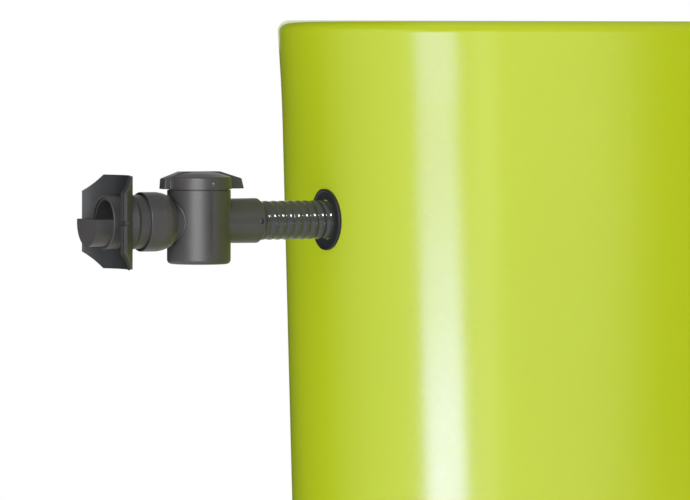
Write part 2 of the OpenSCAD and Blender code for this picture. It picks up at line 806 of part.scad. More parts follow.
module tap_ball() {
    color(steel) at_tap() translate([ball_at, 0, 0]) difference() {
        sphere(r = ball_r);
        translate([0, ball_r + 1, 0]) rotate([90, 0, 0]) cylinder(r = flow_r, h = 2 * ball_r + 2);
        translate([-blade_t / 2 - fit_gap, -ball_r, ball_r - blade_in - fit_gap])
            cube([blade_t + 2 * fit_gap, 2 * ball_r, ball_r]);
    }
}

// Ball seats: a ring on each side of the ball, with a conical face just clear of it.
module ball_seats() {
    clear_r = ball_r + 2 * fit_gap;
    near = ball_r + 1 - seat_t;
    far = sqrt(clear_r * clear_r - plug_bore_r * plug_bore_r);
    color("#e6e4de") at_tap() translate([ball_at, 0, 0]) for (side = [0, 180]) rotate([0, 0, side])
        difference() {
            x_rod(chamber_r - fit_gap, near, ball_r + 1 - fit_gap);
            x_rod(plug_bore_r, near - 1, ball_r + 2);
            x_cone(sqrt(clear_r * clear_r - near * near), plug_bore_r, near, far);
        }
}

module tap_spindle() {
    color(steel) at_tap() translate([ball_at, 0, 0]) difference() {
        union() {
            translate([0, 0, ball_r + fit_gap]) cylinder(r = spindle_r, h = hub_z - ball_r - fit_gap);
            translate([-square / 2, -square / 2, hub_z - 1]) cube([square, square, hub_h - 1]);
            intersection() {
                translate([-blade_t / 2, -blade_w / 2, ball_r - blade_in])
                    cube([blade_t, blade_w, blade_in + 1]);
                cylinder(r = spindle_r, h = hub_z);
            }
        }
        translate([0, 0, hub_z + 1]) cylinder(r = lever_screw_r + 0.1, h = hub_h);
    }
}

module spindle_seal() {
    color(black) at_tap() translate([ball_at, 0, 0])
        ring(spindle_r + 1.9, spindle_r + run_gap / 2, gland_top - gland_pocket + 0.1, gland_pocket - 0.3);
}

// Lever: a hub on the spindle's square, and an arm that rises as it goes out.
module tap_lever() {
    color(dark) at_tap() translate([ball_at, 0, 0]) difference() {
        union() {
            translate([0, 0, hub_z]) cylinder(r = hub_r, h = hub_h);
            translate([-lever_w / 2, 0, 0]) rotate([90, 0, 90]) linear_extrude(lever_w) polygon([
                [0, hub_z + 2], [hub_r, hub_z + 2], [lever_len - 20, hub_z + 2 + lever_rise],
                [lever_len, hub_z + 2 + lever_rise], [lever_len, hub_z + 2 + lever_rise + lever_t],
                [lever_len - 20, hub_z + 2 + lever_rise + lever_t],
                    [hub_r, hub_z + hub_h], [0, hub_z + hub_h]]);
        }
        translate([-square / 2 - 0.1, -square / 2 - 0.1, hub_z - 1])
            cube([square + 0.2, square + 0.2, hub_h - 0.8]);
        translate([0, 0, hub_z]) cylinder(r = lever_screw_r + fit_gap, h = hub_h + lever_t);
    }
}

module lever_screw() {
    color(steel) at_tap() translate([ball_at, 0, 0]) {
        translate([0, 0, hub_z + hub_h]) cylinder(r = 4, h = 2.2);
        translate([0, 0, hub_z + 1.5]) cylinder(r = lever_screw_r, h = hub_h - 1.4);
    }
}

module tap_outer_gasket() {
    color(black) at_tap() x_tube(tap_gasket_r, tail_r + 0.1, 0, tap_gasket_t);
}

module tap_inner_gasket() {
    at = pad_inner - pad_face;
    color(black) at_tap() x_tube(tap_gasket_r, tail_r + 0.1, at - tap_gasket_t, at);
}

module tap_back_nut() {
    at = pad_inner - pad_face - tap_gasket_t;
    color(dark) at_tap() difference() {
        translate([at - nut_t, 0, 0]) rotate([0, 90, 0])
            cylinder(d = nut_flats / cos(30), h = nut_t, $fn = 6);
        x_rod(tail_r + 0.1, at - nut_t - 1, at + 1);
    }
}

module tail_washer() {
    color(black) at_tap() translate([spout_at, 0, 0])
        ring(spout_r - 0.2, spout_bore_r, -spout_drop - washer_t, washer_t);
}

// Hose tail: a flange under the washer, two barbs and a plain tip.
module hose_tail() {
    top = -spout_drop - washer_t;
    neck = top - nozzle_flange_t - tail_nut_lip;
    tip = neck - nozzle_len;
    barb = (nozzle_len - tip_len - 6) / 2;
    color(dark) at_tap() translate([spout_at, 0, 0]) difference() {
        union() {
            translate([0, 0, top - nozzle_flange_t]) cylinder(r = spout_r, h = nozzle_flange_t);
            translate([0, 0, tip]) cylinder(r = tip_r, h = top - tip);
            for (i = [0, 1]) translate([0, 0, tip + tip_len + i * barb])
                cylinder(r1 = tip_r, r2 = barb_r, h = barb - 0.6);
        }
        translate([0, 0, tip - 1]) cylinder(r = tip_r - tip_wall, h = top - tip + 2);
    }
}

// Union nut that draws the hose tail up against the spout.
module tail_nut() {
    top = -spout_drop + tail_nut_up;
    bottom = -spout_drop - washer_t - nozzle_flange_t - tail_nut_lip;
    color(dark) at_tap() translate([spout_at, 0, 0]) difference() {
        translate([0, 0, bottom]) cylinder(r = tail_nut_r, h = top - bottom);
        translate([0, 0, bottom + tail_nut_lip]) cylinder(r = spout_r + 0.1, h = top - bottom);
        translate([0, 0, bottom - 1]) cylinder(r = tip_r + fit_gap, h = tail_nut_lip + 2);
    }
}

barrel_shell();
barrel_lid();
lid_handle();
lid_handle_screws();
wall_grommet();
filler_hose();
hose_ferrule();
filter_housing();
filter_cap();
cap_seal();
shutter_sleeve();
filter_basket();
basket_pin();
union_collar();
collar_seal();
pipe_saddle();
saddle_pad();
spigot_seal();
catch_scoop();
tap_body();
tap_end_plug();
plug_seal();
tap_ball();
ball_seats();
tap_spindle();
spindle_seal();
tap_lever();
lever_screw();
tap_outer_gasket();
tap_inner_gasket();
tap_back_nut();
hose_tail();
tail_nut();
tail_washer();
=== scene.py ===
# %% [markdown]
# # A rain barrel and its filter set
# The barrel is a tall moulded tub in glossy lime plastic, with a loose lid and a ball tap. A filter
# set in dark satin plastic hangs beside it: a saddle plate, a union, a filter housing
# with a turning cap, and a short ribbed hose that enters the wall through a rubber grommet.
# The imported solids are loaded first, because every piece is placed and sized from them.

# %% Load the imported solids
import json
import math

import bmesh
import bpy
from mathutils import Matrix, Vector

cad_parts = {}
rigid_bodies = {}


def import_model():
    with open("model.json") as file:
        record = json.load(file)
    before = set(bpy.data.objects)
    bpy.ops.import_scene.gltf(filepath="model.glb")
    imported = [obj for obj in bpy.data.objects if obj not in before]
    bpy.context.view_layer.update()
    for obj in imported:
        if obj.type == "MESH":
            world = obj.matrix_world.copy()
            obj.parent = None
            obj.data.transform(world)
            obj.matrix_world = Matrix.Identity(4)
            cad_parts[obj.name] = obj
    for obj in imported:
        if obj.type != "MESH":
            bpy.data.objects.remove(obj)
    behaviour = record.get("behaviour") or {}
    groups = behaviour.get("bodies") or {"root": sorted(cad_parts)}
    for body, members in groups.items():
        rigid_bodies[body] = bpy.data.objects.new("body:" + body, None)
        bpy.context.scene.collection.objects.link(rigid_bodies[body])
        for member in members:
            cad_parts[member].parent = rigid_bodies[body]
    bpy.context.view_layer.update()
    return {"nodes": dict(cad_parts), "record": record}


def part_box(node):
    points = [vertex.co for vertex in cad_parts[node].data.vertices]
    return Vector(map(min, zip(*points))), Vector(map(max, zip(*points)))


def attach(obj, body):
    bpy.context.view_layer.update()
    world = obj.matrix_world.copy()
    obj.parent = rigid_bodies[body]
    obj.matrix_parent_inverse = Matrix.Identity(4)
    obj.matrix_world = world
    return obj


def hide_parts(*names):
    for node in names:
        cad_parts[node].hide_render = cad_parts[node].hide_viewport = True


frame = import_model()
MM = 0.001
joints = {joint["name"]: joint for joint in frame["record"]["behaviour"]["joints"]}
filter_axis = Vector(joints["cap_turn"]["pos_m"])
tap_axis = Vector(joints["tap_turn"]["pos_m"])
print("nodes:", len(frame["nodes"]), "filter axis:", tuple(filter_axis))

# %% [markdown]
# ## The camera
# A long lens flattens the barrel's rim to a straight line, as a catalogue picture does. The camera
# stands at the height of the rim and a little to the filler's side, so the filler's axis is turned
# 27 degrees out of the picture plane.

# %% Camera
frame_px = (690, 500)
focal_px = 6590
camera_place = (-3.1018, -5.4016, 1.0)
look_azimuth = math.radians(27)
look_down = math.radians(1.996)
roll = math.radians(-0.15)
ahead = Vector((math.sin(look_azimuth), math.cos(look_azimuth), 0))
aside = Vector((math.cos(look_azimuth), -math.sin(look_azimuth), 0))

camera_data = bpy.data.cameras.new("camera")
camera_data.sensor_width = 36
camera_data.lens = camera_data.sensor_width * focal_px / frame_px[0]
camera = bpy.data.objects.new("camera", camera_data)
camera.location = camera_place
camera.rotation_euler = (math.pi / 2 - look_down, roll, -look_azimuth)
bpy.context.collection.objects.link(camera)
bpy.context.scene.camera = camera
bpy.context.scene.view_settings.view_transform = "Standard"
print("lens:", round(camera_data.lens, 1), "mm")

# %% [markdown]
# ## Light
# A glossy tub is drawn by what it mirrors, so the light that brightens it and the light that shines
# on it are set apart. A large soft box at the camera's left only brightens, and a small lime-tinted one
# low down fills the tub's side. A tall strip is mirrored by the tub as its white streak, between two
# wide panels that fade out to the sides, as a lamp behind cloth does. The filter set mirrors two boxes
# and a small bare lamp of its own, and a bounce from below lifts its undersides. The hose's ribs are
# picked out by a bright panel and a thin strip, set where the crests of the ribs face them. Bearings
# are counted from the barrel towards the camera, to the left.

# %% A soft box
aim_height = 0.7


def bearing(degrees):
    turn = math.radians(degrees)
    return -ahead * math.cos(turn) - aside * math.sin(turn)


def soft_box(name, degrees, distance, height, size, radiance):
    """A lamp that looks at the barrel; its energy follows from its size and how bright it should look."""
    lamp = bpy.data.lights.new(name, "AREA")
    lamp.shape = "RECTANGLE"
    lamp.size, lamp.size_y = size
    lamp.energy = radiance * math.pi * size[0] * size[1]
    thing = bpy.data.objects.new(name, lamp)
    thing.location = bearing(degrees) * distance + Vector((0, 0, height))
    towards = Vector((0, 0, aim_height)) - thing.location
    thing.rotation_euler = towards.to_track_quat("-Z", "Y").to_euler()
    thing.visible_camera = False
    bpy.context.collection.objects.link(thing)
    return thing


print("every soft box looks at a height of", aim_height, "m")

# %% The lamps
key_place = (33, 3.2, 1.4, (2.4, 2.4), 2.7)
tub_key = soft_box("tub_key", *key_place)
set_key = soft_box("set_key", *key_place)
streak = soft_box("streak_strip", 69.3, 2.4, 0.45, (0.56, 0.9), 17.5)
side_glow = soft_box("side_glow", 90, 2.6, 0.6, (4.0, 2.4), 1.45)
front_glow = soft_box("front_glow", 31, 3.0, 0.6, (3.2, 2.4), 1.35)
set_box = soft_box("set_box", 12.5, 2.9, 0.9, (2.0, 1.8), 6.0)
set_side = soft_box("set_side", 72, 2.6, 0.9, (1.6, 1.8), 0.8)
set_glint = soft_box("set_glint", 15, 2.9, 2.4, (0.6, 0.5), 60.0)
rib_glint = soft_box("rib_glint", -47.5, 2.54, 2.09, (1.3, 0.5), 60.0)
rib_line = soft_box("rib_line", -65, 1.5, -0.6, (0.3, 2.2), 8.0)
tub_fill = soft_box("tub_fill", 78, 1.6, 0.1, (1.2, 0.6), 1.1)
set_bounce = soft_box("set_bounce", 40, 0.9, 0.01, (2.4, 2.4), 0.5)
tub_fill.data.color = (0.8, 1.0, 0.6)
streak_lean = math.radians(8)
streak.rotation_euler.rotate_axis("Z", streak_lean)

only_brighten = (tub_key, set_key, tub_fill, set_bounce)
only_mirrored = (streak, side_glow, front_glow, set_box, set_side, set_glint, rib_glint, rib_line)
for lamp in only_brighten:
    lamp.visible_glossy = False
for lamp in only_mirrored:
    lamp.visible_diffuse = False
print("lamps that brighten:", len(only_brighten), "lamps that are mirrored:", len(only_mirrored))

# %% [markdown]
# ## Colours and nodes
# Colours are written as they look on a screen, so one function turns them into the linear values
# that a shader works with. A second one adds a node, sets it and links it in a single line.

# %% Colour and node helpers
def linear(hex_colour):
    parts = [int(hex_colour[i:i + 2], 16) / 255 for i in (1, 3, 5)]
    return [c / 12.92 if c <= 0.04045 else ((c + 0.055) / 1.055) ** 2.4 for c in parts] + [1.0]


def add(tree, kind, inputs=None, **settings):
    """Adds a node; an input is a number or colour, a socket, or a node, which gives its first output."""
    made = tree.nodes.new("ShaderNode" + kind)
    for name, value in settings.items():
        setattr(made, name, value)
    for socket, value in (inputs or {}).items():
        if isinstance(value, bpy.types.Node):
            value = value.outputs[0]
        if isinstance(value, bpy.types.NodeSocket):
            tree.links.new(value, made.inputs[socket])
        else:
            made.inputs[socket].default_value = value
    return made


def blank_material(name):
    material = bpy.data.materials.new(name)
    material.use_nodes = True
    material.node_tree.nodes.clear()
    return material, material.node_tree


def per_unit(size_mm):
    """Noise scale at which one blotch is about size_mm across."""
    return 1 / (size_mm * MM)


print("lime on the screen and in the shader:", "#bacc1a", [round(c, 3) for c in linear("#bacc1a")])

# %% [markdown]
# ## Cloth over the lamps
# A lamp can have nodes too. Here they dim it gradually from one edge to the other, so that its
# reflection has no hard end. The strip is a cool white: warm white over lime would clip to yellow.

# %% Fading the lamps
def fade(box, direction, dim_at, full_at, least=0.0, colour="#ffffff"):
    box.data.use_nodes = True
    tree = box.data.node_tree
    tree.nodes.clear()
    place = add(tree, "NewGeometry").outputs["Parametric"]
    place = add(tree, "SeparateXYZ", {0: place})
    share = add(tree, "MapRange", {"Value": place.outputs[direction], "From Min": dim_at,
                                   "From Max": full_at, "To Min": least}, interpolation_type="SMOOTHSTEP")
    light = add(tree, "Emission", {"Color": linear(colour), "Strength": share})
    add(tree, "OutputLight", {0: light})
    print("faded:", box.name)


fade(side_glow, "X", 0.05, 0.7)
fade(front_glow, "X", 1.0, 0.55)
fade(streak, "Y", 0.85, 0.35, 0.4, "#b1abff")

# %% [markdown]
# ## Backdrop and floor
# The backdrop is white for the camera and in reflections, but gives the object only a modest grey
# light. The floor is a pale matt sheet that takes the shadow. Half of what the camera sees of it is the
# sheet's own pale colour, so that it stays pale under the modest light.

# %% Backdrop
world = bpy.data.worlds.new("backdrop")
bpy.context.scene.world = world
world.use_nodes = True
sky = world.node_tree
sky.nodes.clear()
sky_light = 0.47
path = add(sky, "LightPath").outputs
seen = add(sky, "Math", {0: path["Is Camera Ray"], 1: path["Is Glossy Ray"]}, operation="MAXIMUM")
seen = add(sky, "Math", {0: seen, 1: path["Is Transmission Ray"]}, operation="MAXIMUM")
dim = add(sky, "Background", {"Color": linear("#ffffff"), "Strength": sky_light})
white = add(sky, "Background", {"Color": linear("#ffffff"), "Strength": 1.0})
either = add(sky, "MixShader", {0: seen, 1: dim, 2: white})
add(sky, "OutputWorld", {0: either})
print("backdrop:", world.name)

# %% Floor
floor_finish, tree = blank_material("pale matt floor sheet")
grain = add(tree, "TexNoise", {"Scale": per_unit(40), "Detail": 3.0})
pale = add(tree, "Mix", {0: grain, 6: linear("#eeeeec"), 7: linear("#f3f3f1")}, data_type="RGBA")
matt = add(tree, "BsdfPrincipled", {"Base Color": pale.outputs[2], "Roughness": 0.9})
own_tone = add(tree, "Emission", {"Color": pale.outputs[2]})
path = add(tree, "LightPath").outputs
mirrored = add(tree, "Math", {0: path["Is Glossy Ray"], 1: path["Is Transmission Ray"]},
               operation="MAXIMUM")
own_share = add(tree, "Math", {0: path["Is Camera Ray"], 1: 0.5, 2: mirrored}, operation="MULTIPLY_ADD")
paper = add(tree, "MixShader", {0: own_share, 1: matt, 2: own_tone})
add(tree, "OutputMaterial", {0: paper})

bpy.ops.mesh.primitive_plane_add(size=8, location=(0, 0, -0.0005))
floor = bpy.context.object
floor.name = "floor"
floor.data.materials.append(floor_finish)
print("floor:", tuple(floor.dimensions))

# %% [markdown]
# ## Cards
# In a studio, cards stand round a glossy thing, so that it mirrors something darker than the white
# backdrop and its edges are drawn. These cards show only in reflections. The one at the right has soft
# edges, because its end would draw a hard line on the tub.

# %% What the cards are made of
def card_finish(name, hex_colour, one_sided=False, soft=False):
    """A one-sided card shows only from its front, and a soft one fades out at its sides and its top."""
    finish, tree = blank_material(name)
    shader = add(tree, "Emission", {"Color": linear(hex_colour), "Strength": 1.0})
    clear = add(tree, "BsdfTransparent")
    if one_sided:
        back = add(tree, "NewGeometry").outputs["Backfacing"]
        shader = add(tree, "MixShader", {0: back, 1: shader, 2: clear})
    if soft:
        place = add(tree, "TexCoord").outputs["Generated"]
        place = add(tree, "SeparateXYZ", {0: place})
        for direction, gone_at, full_at in (("X", 0.0, 0.3), ("X", 1.0, 0.7), ("Y", 1.0, 0.6)):
            there = add(tree, "MapRange", {"Value": place.outputs[direction], "From Min": gone_at,
                                           "From Max": full_at}, interpolation_type="SMOOTHSTEP")
            shader = add(tree, "MixShader", {0: there, 1: clear, 2: shader})
    add(tree, "OutputMaterial", {0: shader})
    return finish


card_black = "#2a2c24"
black_card = card_finish("black card", card_black)
grey_card = card_finish("grey card", "#b4b4b4")
soft_card = card_finish("soft-edged black card", card_black, soft=True)
# The one-sided black card is painted shade: a dark sheet inside the filter that darkens what is mirrored
# there.
painted_shade_card = card_finish("one-sided black card", card_black, one_sided=True)
print("card finishes:", ", ".join(each.name for each in (black_card, grey_card, soft_card, painted_shade_card)))

# %% Cards that only show in reflections
def card(name, place, target, size, finish):
    bpy.ops.mesh.primitive_plane_add(size=1, location=place)
    sheet = bpy.context.object
    sheet.name = name
    sheet.scale = (size[0], size[1], 1)
    sheet.rotation_euler = (Vector(target) - Vector(place)).to_track_quat("Z", "Y").to_euler()
    sheet.visible_camera = sheet.visible_diffuse = sheet.visible_shadow = False
    sheet.data.materials.append(finish)
    print("card:", name)


for name, degrees, distance, width, top, finish in (
        ("card_left", 128, 1.9, 2.3, 3.0, black_card), ("card_edge", 168, 2.1, 2.2, 0.95, black_card),
        ("card_right", -130, 1.9, 3.4, 1.3, soft_card), ("card_room", -24, 8.0, 9.0, 3.0, black_card),
        ("card_side", 84, 3.4, 5.6, 3.0, black_card), ("card_front", 22, 3.6, 4.2, 3.0, black_card)):
    card(name, bearing(degrees) * distance + Vector((0, 0, top / 2)), (0, 0, top / 2), (width, top), finish)
card("card_above", (0, 0, 3.2), (0, 0, 0), (7, 7), grey_card)
# Two black sheets inside the filter are painted shade, seen only in reflections: one keeps the tub's green
# off the saddle, one darkens the cap's gap.
card("card_filter", filter_axis, filter_axis - Vector((1, 0, 0)), (0.085, 0.057), painted_shade_card)
gap_above = filter_axis + Vector((0, 0, 0.0295))
card("card_cap", gap_above, gap_above - Vector((0, 0, 1)), (0.054, 0.054), painted_shade_card)

# %% [markdown]
# ## What all the finishes share
# No moulded or turned surface has one even colour: the pigment drifts a little, in blotches. So each
# finish starts from two close tones, mixed by a noise whose blotches have a size in millimetres, and the
# same noise, or a finer one, then varies the gloss. A picture could do that too, but it would need the
# mesh unwrapped, while a noise is looked up by the place on the object.

# %% Finish helpers
def mottled(name, size_mm, detail, dark, light):
    """Starts a material: its tree, the place on the object, the blotches and the mixed tone."""
    material, tree = blank_material(name)
    place = add(tree, "TexCoord").outputs["Object"]
    blotch = add(tree, "TexNoise", {"Vector": place, "Scale": per_unit(size_mm), "Detail": detail})
    tone = add(tree, "Mix", {0: blotch, 6: linear(dark), 7: linear(light)}, data_type="RGBA")
    return material, tree, place, blotch, tone.outputs[2]


print("blotches of 160 mm need a noise scale of", per_unit(160))

# %% [markdown]
# ## Lime polyethylene
# The tub and its lid are moulded from high-density polyethylene with the pigment in the plastic.
# The mould was polished, so the skin is glossy, with a faint orange peel where it shrank off the
# steel, and the pigment is a touch uneven. The peel is too shallow for geometry, so it is a faint bump,
# which only makes the edges of reflections tremble.

# %% Lime polyethylene, moulded against polished steel
lime_polyethylene, tree, place, _, tone = mottled(
    "lime polyethylene, gloss moulded", 160, 3.0, "#bacc1a", "#c0d020")
wipe = add(tree, "TexNoise", {"Vector": place, "Scale": per_unit(25), "Detail": 5.0})
gloss = add(tree, "MapRange", {"Value": wipe, "To Min": 0.13, "To Max": 0.2})
peel = add(tree, "TexNoise", {"Vector": place, "Scale": per_unit(7), "Detail": 1.0})
skin = add(tree, "Bump", {"Height": peel, "Strength": 0.05, "Distance": 0.0004})
shader = add(tree, "BsdfPrincipled", {"Base Color": tone, "Roughness": gloss, "Normal": skin, "IOR": 1.5})
add(tree, "OutputMaterial", {0: shader})
print("finish:", lime_polyethylene.name)

# %% [markdown]
# ## Dark polypropylene
# The filter set and the tap are injection-moulded polypropylene, coloured a warm dark grey. A spark
# eroded mould leaves a very fine satin grain, which spreads highlights into soft bands. A high
# roughness alone would give the bands too, but a fine bump also breaks up their edges, as grain does.

# %% Dark polypropylene, satin moulded
dark_polypropylene, tree, place, blotch, tone = mottled(
    "dark polypropylene, satin moulded", 22, 4.0, "#413f41", "#494749")
satin = add(tree, "MapRange", {"Value": blotch, "To Min": 0.36, "To Max": 0.46})
# The real grain is about 0.1 mm; it is drawn at 0.7 mm so that it shows.
grit = add(tree, "TexNoise", {"Vector": place, "Scale": per_unit(0.7), "Detail": 2.0})
skin = add(tree, "Bump", {"Height": grit, "Strength": 0.2, "Distance": 0.0001})
shader = add(tree, "BsdfPrincipled", {"Base Color": tone, "Roughness": satin, "Normal": skin, "IOR": 1.49})
add(tree, "OutputMaterial", {0: shader})
print("finish:", dark_polypropylene.name)

# %% [markdown]
# ## Hose vinyl, rubber, steel and the inner plastics
# The hose is extruded vinyl, smooth and shiny on its ribs. The grommet and gaskets are black rubber
# with a dull bloom, which spreads a highlight until it is hardly seen. Screws, pin, ball and spindle are
# turned from stainless steel, whose fine tool marks soften what it mirrors. The strainer and the ball
# seats are plain plastics that show only when the set is opened. All of these are small in a picture,
# so a tone, a roughness and one noise are enough for each.

# %% Hose vinyl, extruded
hose_vinyl, tree, _, blotch, tone = mottled("hose vinyl, extruded", 9, 3.0, "#444548", "#4d4e51")
shine = add(tree, "MapRange", {"Value": blotch, "To Min": 0.07, "To Max": 0.12})
shader = add(tree, "BsdfPrincipled",
             {"Base Color": tone, "Roughness": shine, "IOR": 1.53, "Specular IOR Level": 0.3})
add(tree, "OutputMaterial", {0: shader})
print("finish:", hose_vinyl.name)

# %% Black rubber, press moulded
black_rubber, tree, _, bloom, tone = mottled("black rubber, press moulded", 6, 5.0, "#14171b", "#1c2024")
dull = add(tree, "MapRange", {"Value": bloom, "To Min": 0.42, "To Max": 0.62})
skin = add(tree, "Bump", {"Height": bloom, "Strength": 0.1, "Distance": 0.0002})
shader = add(tree, "BsdfPrincipled", {"Base Color": tone, "Roughness": dull, "Normal": skin, "IOR": 1.52})
add(tree, "OutputMaterial", {0: shader})
print("finish:", black_rubber.name)

# %% Stainless steel, turned
stainless_steel, tree, _, lines, tone = mottled("stainless steel, turned", 1.5, 4.0, "#c3c5c6", "#d2d3d3")
polish = add(tree, "MapRange", {"Value": lines, "To Min": 0.22, "To Max": 0.34})
shader = add(tree, "BsdfPrincipled", {"Base Color": tone, "Roughness": polish, "Metallic": 1.0})
add(tree, "OutputMaterial", {0: shader})
print("finish:", stainless_steel.name)

# %% Strainer and seat plastics
strainer_polypropylene, tree, _, _, tone = mottled(
    "grey polypropylene, moulded", 12, 3.0, "#7d8083", "#888b8e")
shader = add(tree, "BsdfPrincipled", {"Base Color": tone, "Roughness": 0.45, "IOR": 1.49})
add(tree, "OutputMaterial", {0: shader})
print("finish:", strainer_polypropylene.name)

seat_fluoropolymer, tree, _, _, tone = mottled("white fluoropolymer, turned", 5, 2.0, "#e4e2dc", "#eceae5")
shader = add(tree, "BsdfPrincipled", {"Base Color": tone, "Roughness": 0.5, "IOR": 1.38})
add(tree, "OutputMaterial", {0: shader})
print("finish:", seat_fluoropolymer.name)

# %% [markdown]
# ## Which finish each solid takes
# The record gives every solid a material slot and a body that it moves with. One table ties each slot to
# its finish, so that a new piece takes the finish and the body of the solid that it stands for.

# %% Which finish each solid takes
slot_finish = {
    "lime_plastic": lime_polyethylene,
    "dark_plastic": dark_polypropylene,
    "hose_plastic": hose_vinyl,
    "black_rubber": black_rubber,
    "stainless_steel": stainless_steel,
    "strainer_plastic": strainer_polypropylene,
    "seat_plastic": seat_fluoropolymer,
}
slot_of = {part["node"]: part["material_slot"] for part in frame["record"]["subparts"]}
body_of = {node: body for body, nodes in frame["record"]["behaviour"]["bodies"].items() for node in nodes}
print("finishes:", len(slot_finish), "solids:", len(slot_of), "bodies:", len(set(body_of.values())))

# %% [markdown]
# ## Turned shapes
# Nearly every piece here is round, as moulded tubs and pipe fittings are. An outline is written as
# corners in millimetres, each with the radius that rounds it, and is then turned about an axis. Long
# straight runs get extra rings beside each rounding, so that a flat wall also shades flat. Blender's
# Screw modifier could turn a curve as well, but here each rounding keeps its exact radius, and a piece
# can have flutes.

# %% Outline helper
arc_step = 11
pole_r = 1e-6


def outline(corners, step=12.0, guard=0.6):
    """Corners are (radius from the axis, place along it, rounding); the result has arcs and rings."""
    rounded = []
    for i, (r, h, rounding) in enumerate(corners):
        corner = Vector((r, h))
        if rounding == 0:
            rounded.append(corner)
            continue
        back = (Vector(corners[i - 1][:2]) - corner).normalized()
        on = (Vector(corners[(i + 1) % len(corners)][:2]) - corner).normalized()
        half = back.angle(on) / 2
        middle = corner + (back + on).normalized() * rounding / math.sin(half)
        first = corner + back * rounding / math.tan(half) - middle
        last = corner + on * rounding / math.tan(half) - middle
        count = max(3, math.ceil(math.degrees(math.pi - 2 * half) / arc_step))
        sweep = first.angle_signed(last)
        for k in range(count + 1):
            turn = -sweep * k / count
            rounded.append(middle + Vector((first.x * math.cos(turn) - first.y * math.sin(turn),
                                            first.x * math.sin(turn) + first.y * math.cos(turn))))
    rings = []
    for here, there in zip(rounded, rounded[1:] + rounded[:1]):
        length = (there - here).length
        rings.append(here)
        if length > 3 * guard and not (here.x == 0 and there.x == 0):
            parts = max(1, math.ceil((length - 2 * guard) / step))
            stops = [guard + (length - 2 * guard) * k / parts for k in range(parts + 1)]
            rings += [here.lerp(there, stop / length) for stop in stops]
    return [tuple(ring) for ring in rings]


corner_test = outline([(0, 0, 0), (9, 0, 0), (9, 9, 2), (0, 9, 0)])
print("a corner rounded by 2 mm makes", len(corner_test), "points of an outline")

# %% Turning an outline
def turned_point(axis, r, h, turn):
    c, s = math.cos(turn), math.sin(turn)
    return {"Z": (r * c, r * s, h), "X": (h, r * c, r * s), "-Y": (r * c, -h, r * s)}[axis]


def turn_outline(shape, rings, axis="Z", sides=128, at=(0, 0, 0), flutes=(0, 0)):
    """Adds the closed outline, turned about an axis through at. Flutes are cut into its widest part."""
    columns = []
    count, depth = flutes
    widest = max(r for r, h in rings)
    poles = {}
    for k in range(sides):
        column = []
        for i, (r, h) in enumerate(rings):
            if r < pole_r:
                if i not in poles:
                    poles[i] = shape.verts.new(Vector(turned_point(axis, 0, h, 0)) * MM + Vector(at))
                column.append(poles[i])
            else:
                turn = 2 * math.pi * k / sides
                cut = depth * (0.5 - 0.5 * math.cos(count * turn)) if r > widest - 0.05 else 0
                spot = turned_point(axis, r - cut, h, turn)
                column.append(shape.verts.new(Vector(spot) * MM + Vector(at)))
        columns.append(column)
    for k in range(sides):
        left, right = columns[k], columns[(k + 1) % sides]
        for i in range(len(rings)):
            j = (i + 1) % len(rings)
            corners = []
            for vert in (left[i], right[i], right[j], left[j]):
                if vert not in corners:
                    corners.append(vert)
            if len(corners) > 2:
                shape.faces.new(corners)


print("9 mm out, a quarter turn round X:", [round(c, 3) for c in turned_point("X", 9, 0, math.pi / 2)])

# %% From a shape to a finished piece
def as_object(shape, name):
    bmesh.ops.recalc_face_normals(shape, faces=shape.faces)
    mesh = bpy.data.meshes.new(name)
    shape.to_mesh(mesh)
    shape.free()
    thing = bpy.data.objects.new(name, mesh)
    bpy.context.collection.objects.link(thing)
    return thing


def dress_piece(piece, node, sharp=35):
    """The piece replaces a solid, rides with it and takes its finish."""
    piece.data.materials.clear()
    piece.data.materials.append(slot_finish[slot_of[node]])
    piece.data.shade_smooth()
    piece.data.set_sharp_from_angle(angle=math.radians(sharp))
    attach(piece, body_of[node])
    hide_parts(node)
    print(piece.name, len(piece.data.polygons), "faces")
    return piece


# %% [markdown]
# ## The tub
# The tub is one moulding: a flat base with a stiffening groove, a tapered wall that flares a little
# in its top band, and a rim that rolls inwards and steps down to a ledge for the lid. A crease shows
# where the rolled rim meets the flare. The pad round the tap hole is part of the same moulding. One
# closed outline goes up the outside and down the inside. A Solidify modifier could thicken a thin skin
# instead, but then the inside would not have roundings of its own at the ledge, the heel and the groove.

# %% The tub's sizes
rim_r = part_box("barrel_shell")[1].x / MM
barrel_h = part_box("barrel_shell")[1].z / MM
base_r, wall, heel_round = 345, 5, 28
flare_h, flare_out, bend_round = 66, 4, 1400
rim_round, rim_w = 10.5, 30
seat_drop, seat_w, lip_h = 20, 22, 18
neck_r, neck_z = rim_r - flare_out, barrel_h - flare_h
rim_in_r, seat_z = rim_r - rim_w, barrel_h - seat_drop
mouth_r = rim_in_r - seat_w
groove_r, groove_w, groove_d = 0.62 * base_r, 16, 3
groove_in, groove_out = groove_r - groove_w / 2, groove_r + groove_w / 2
pad_r, pad_proud, pad_depth, tap_hole_r = 35, 4, 16, 13.6
tap_z = tap_axis.z / MM


def wall_r(z):
    return base_r + (neck_r - base_r) / neck_z * z


pad_face = wall_r(tap_z + pad_r) + pad_proud
print("tub:", round(2 * rim_r), "mm wide,", round(barrel_h), "mm high, mouth", round(2 * mouth_r), "mm")

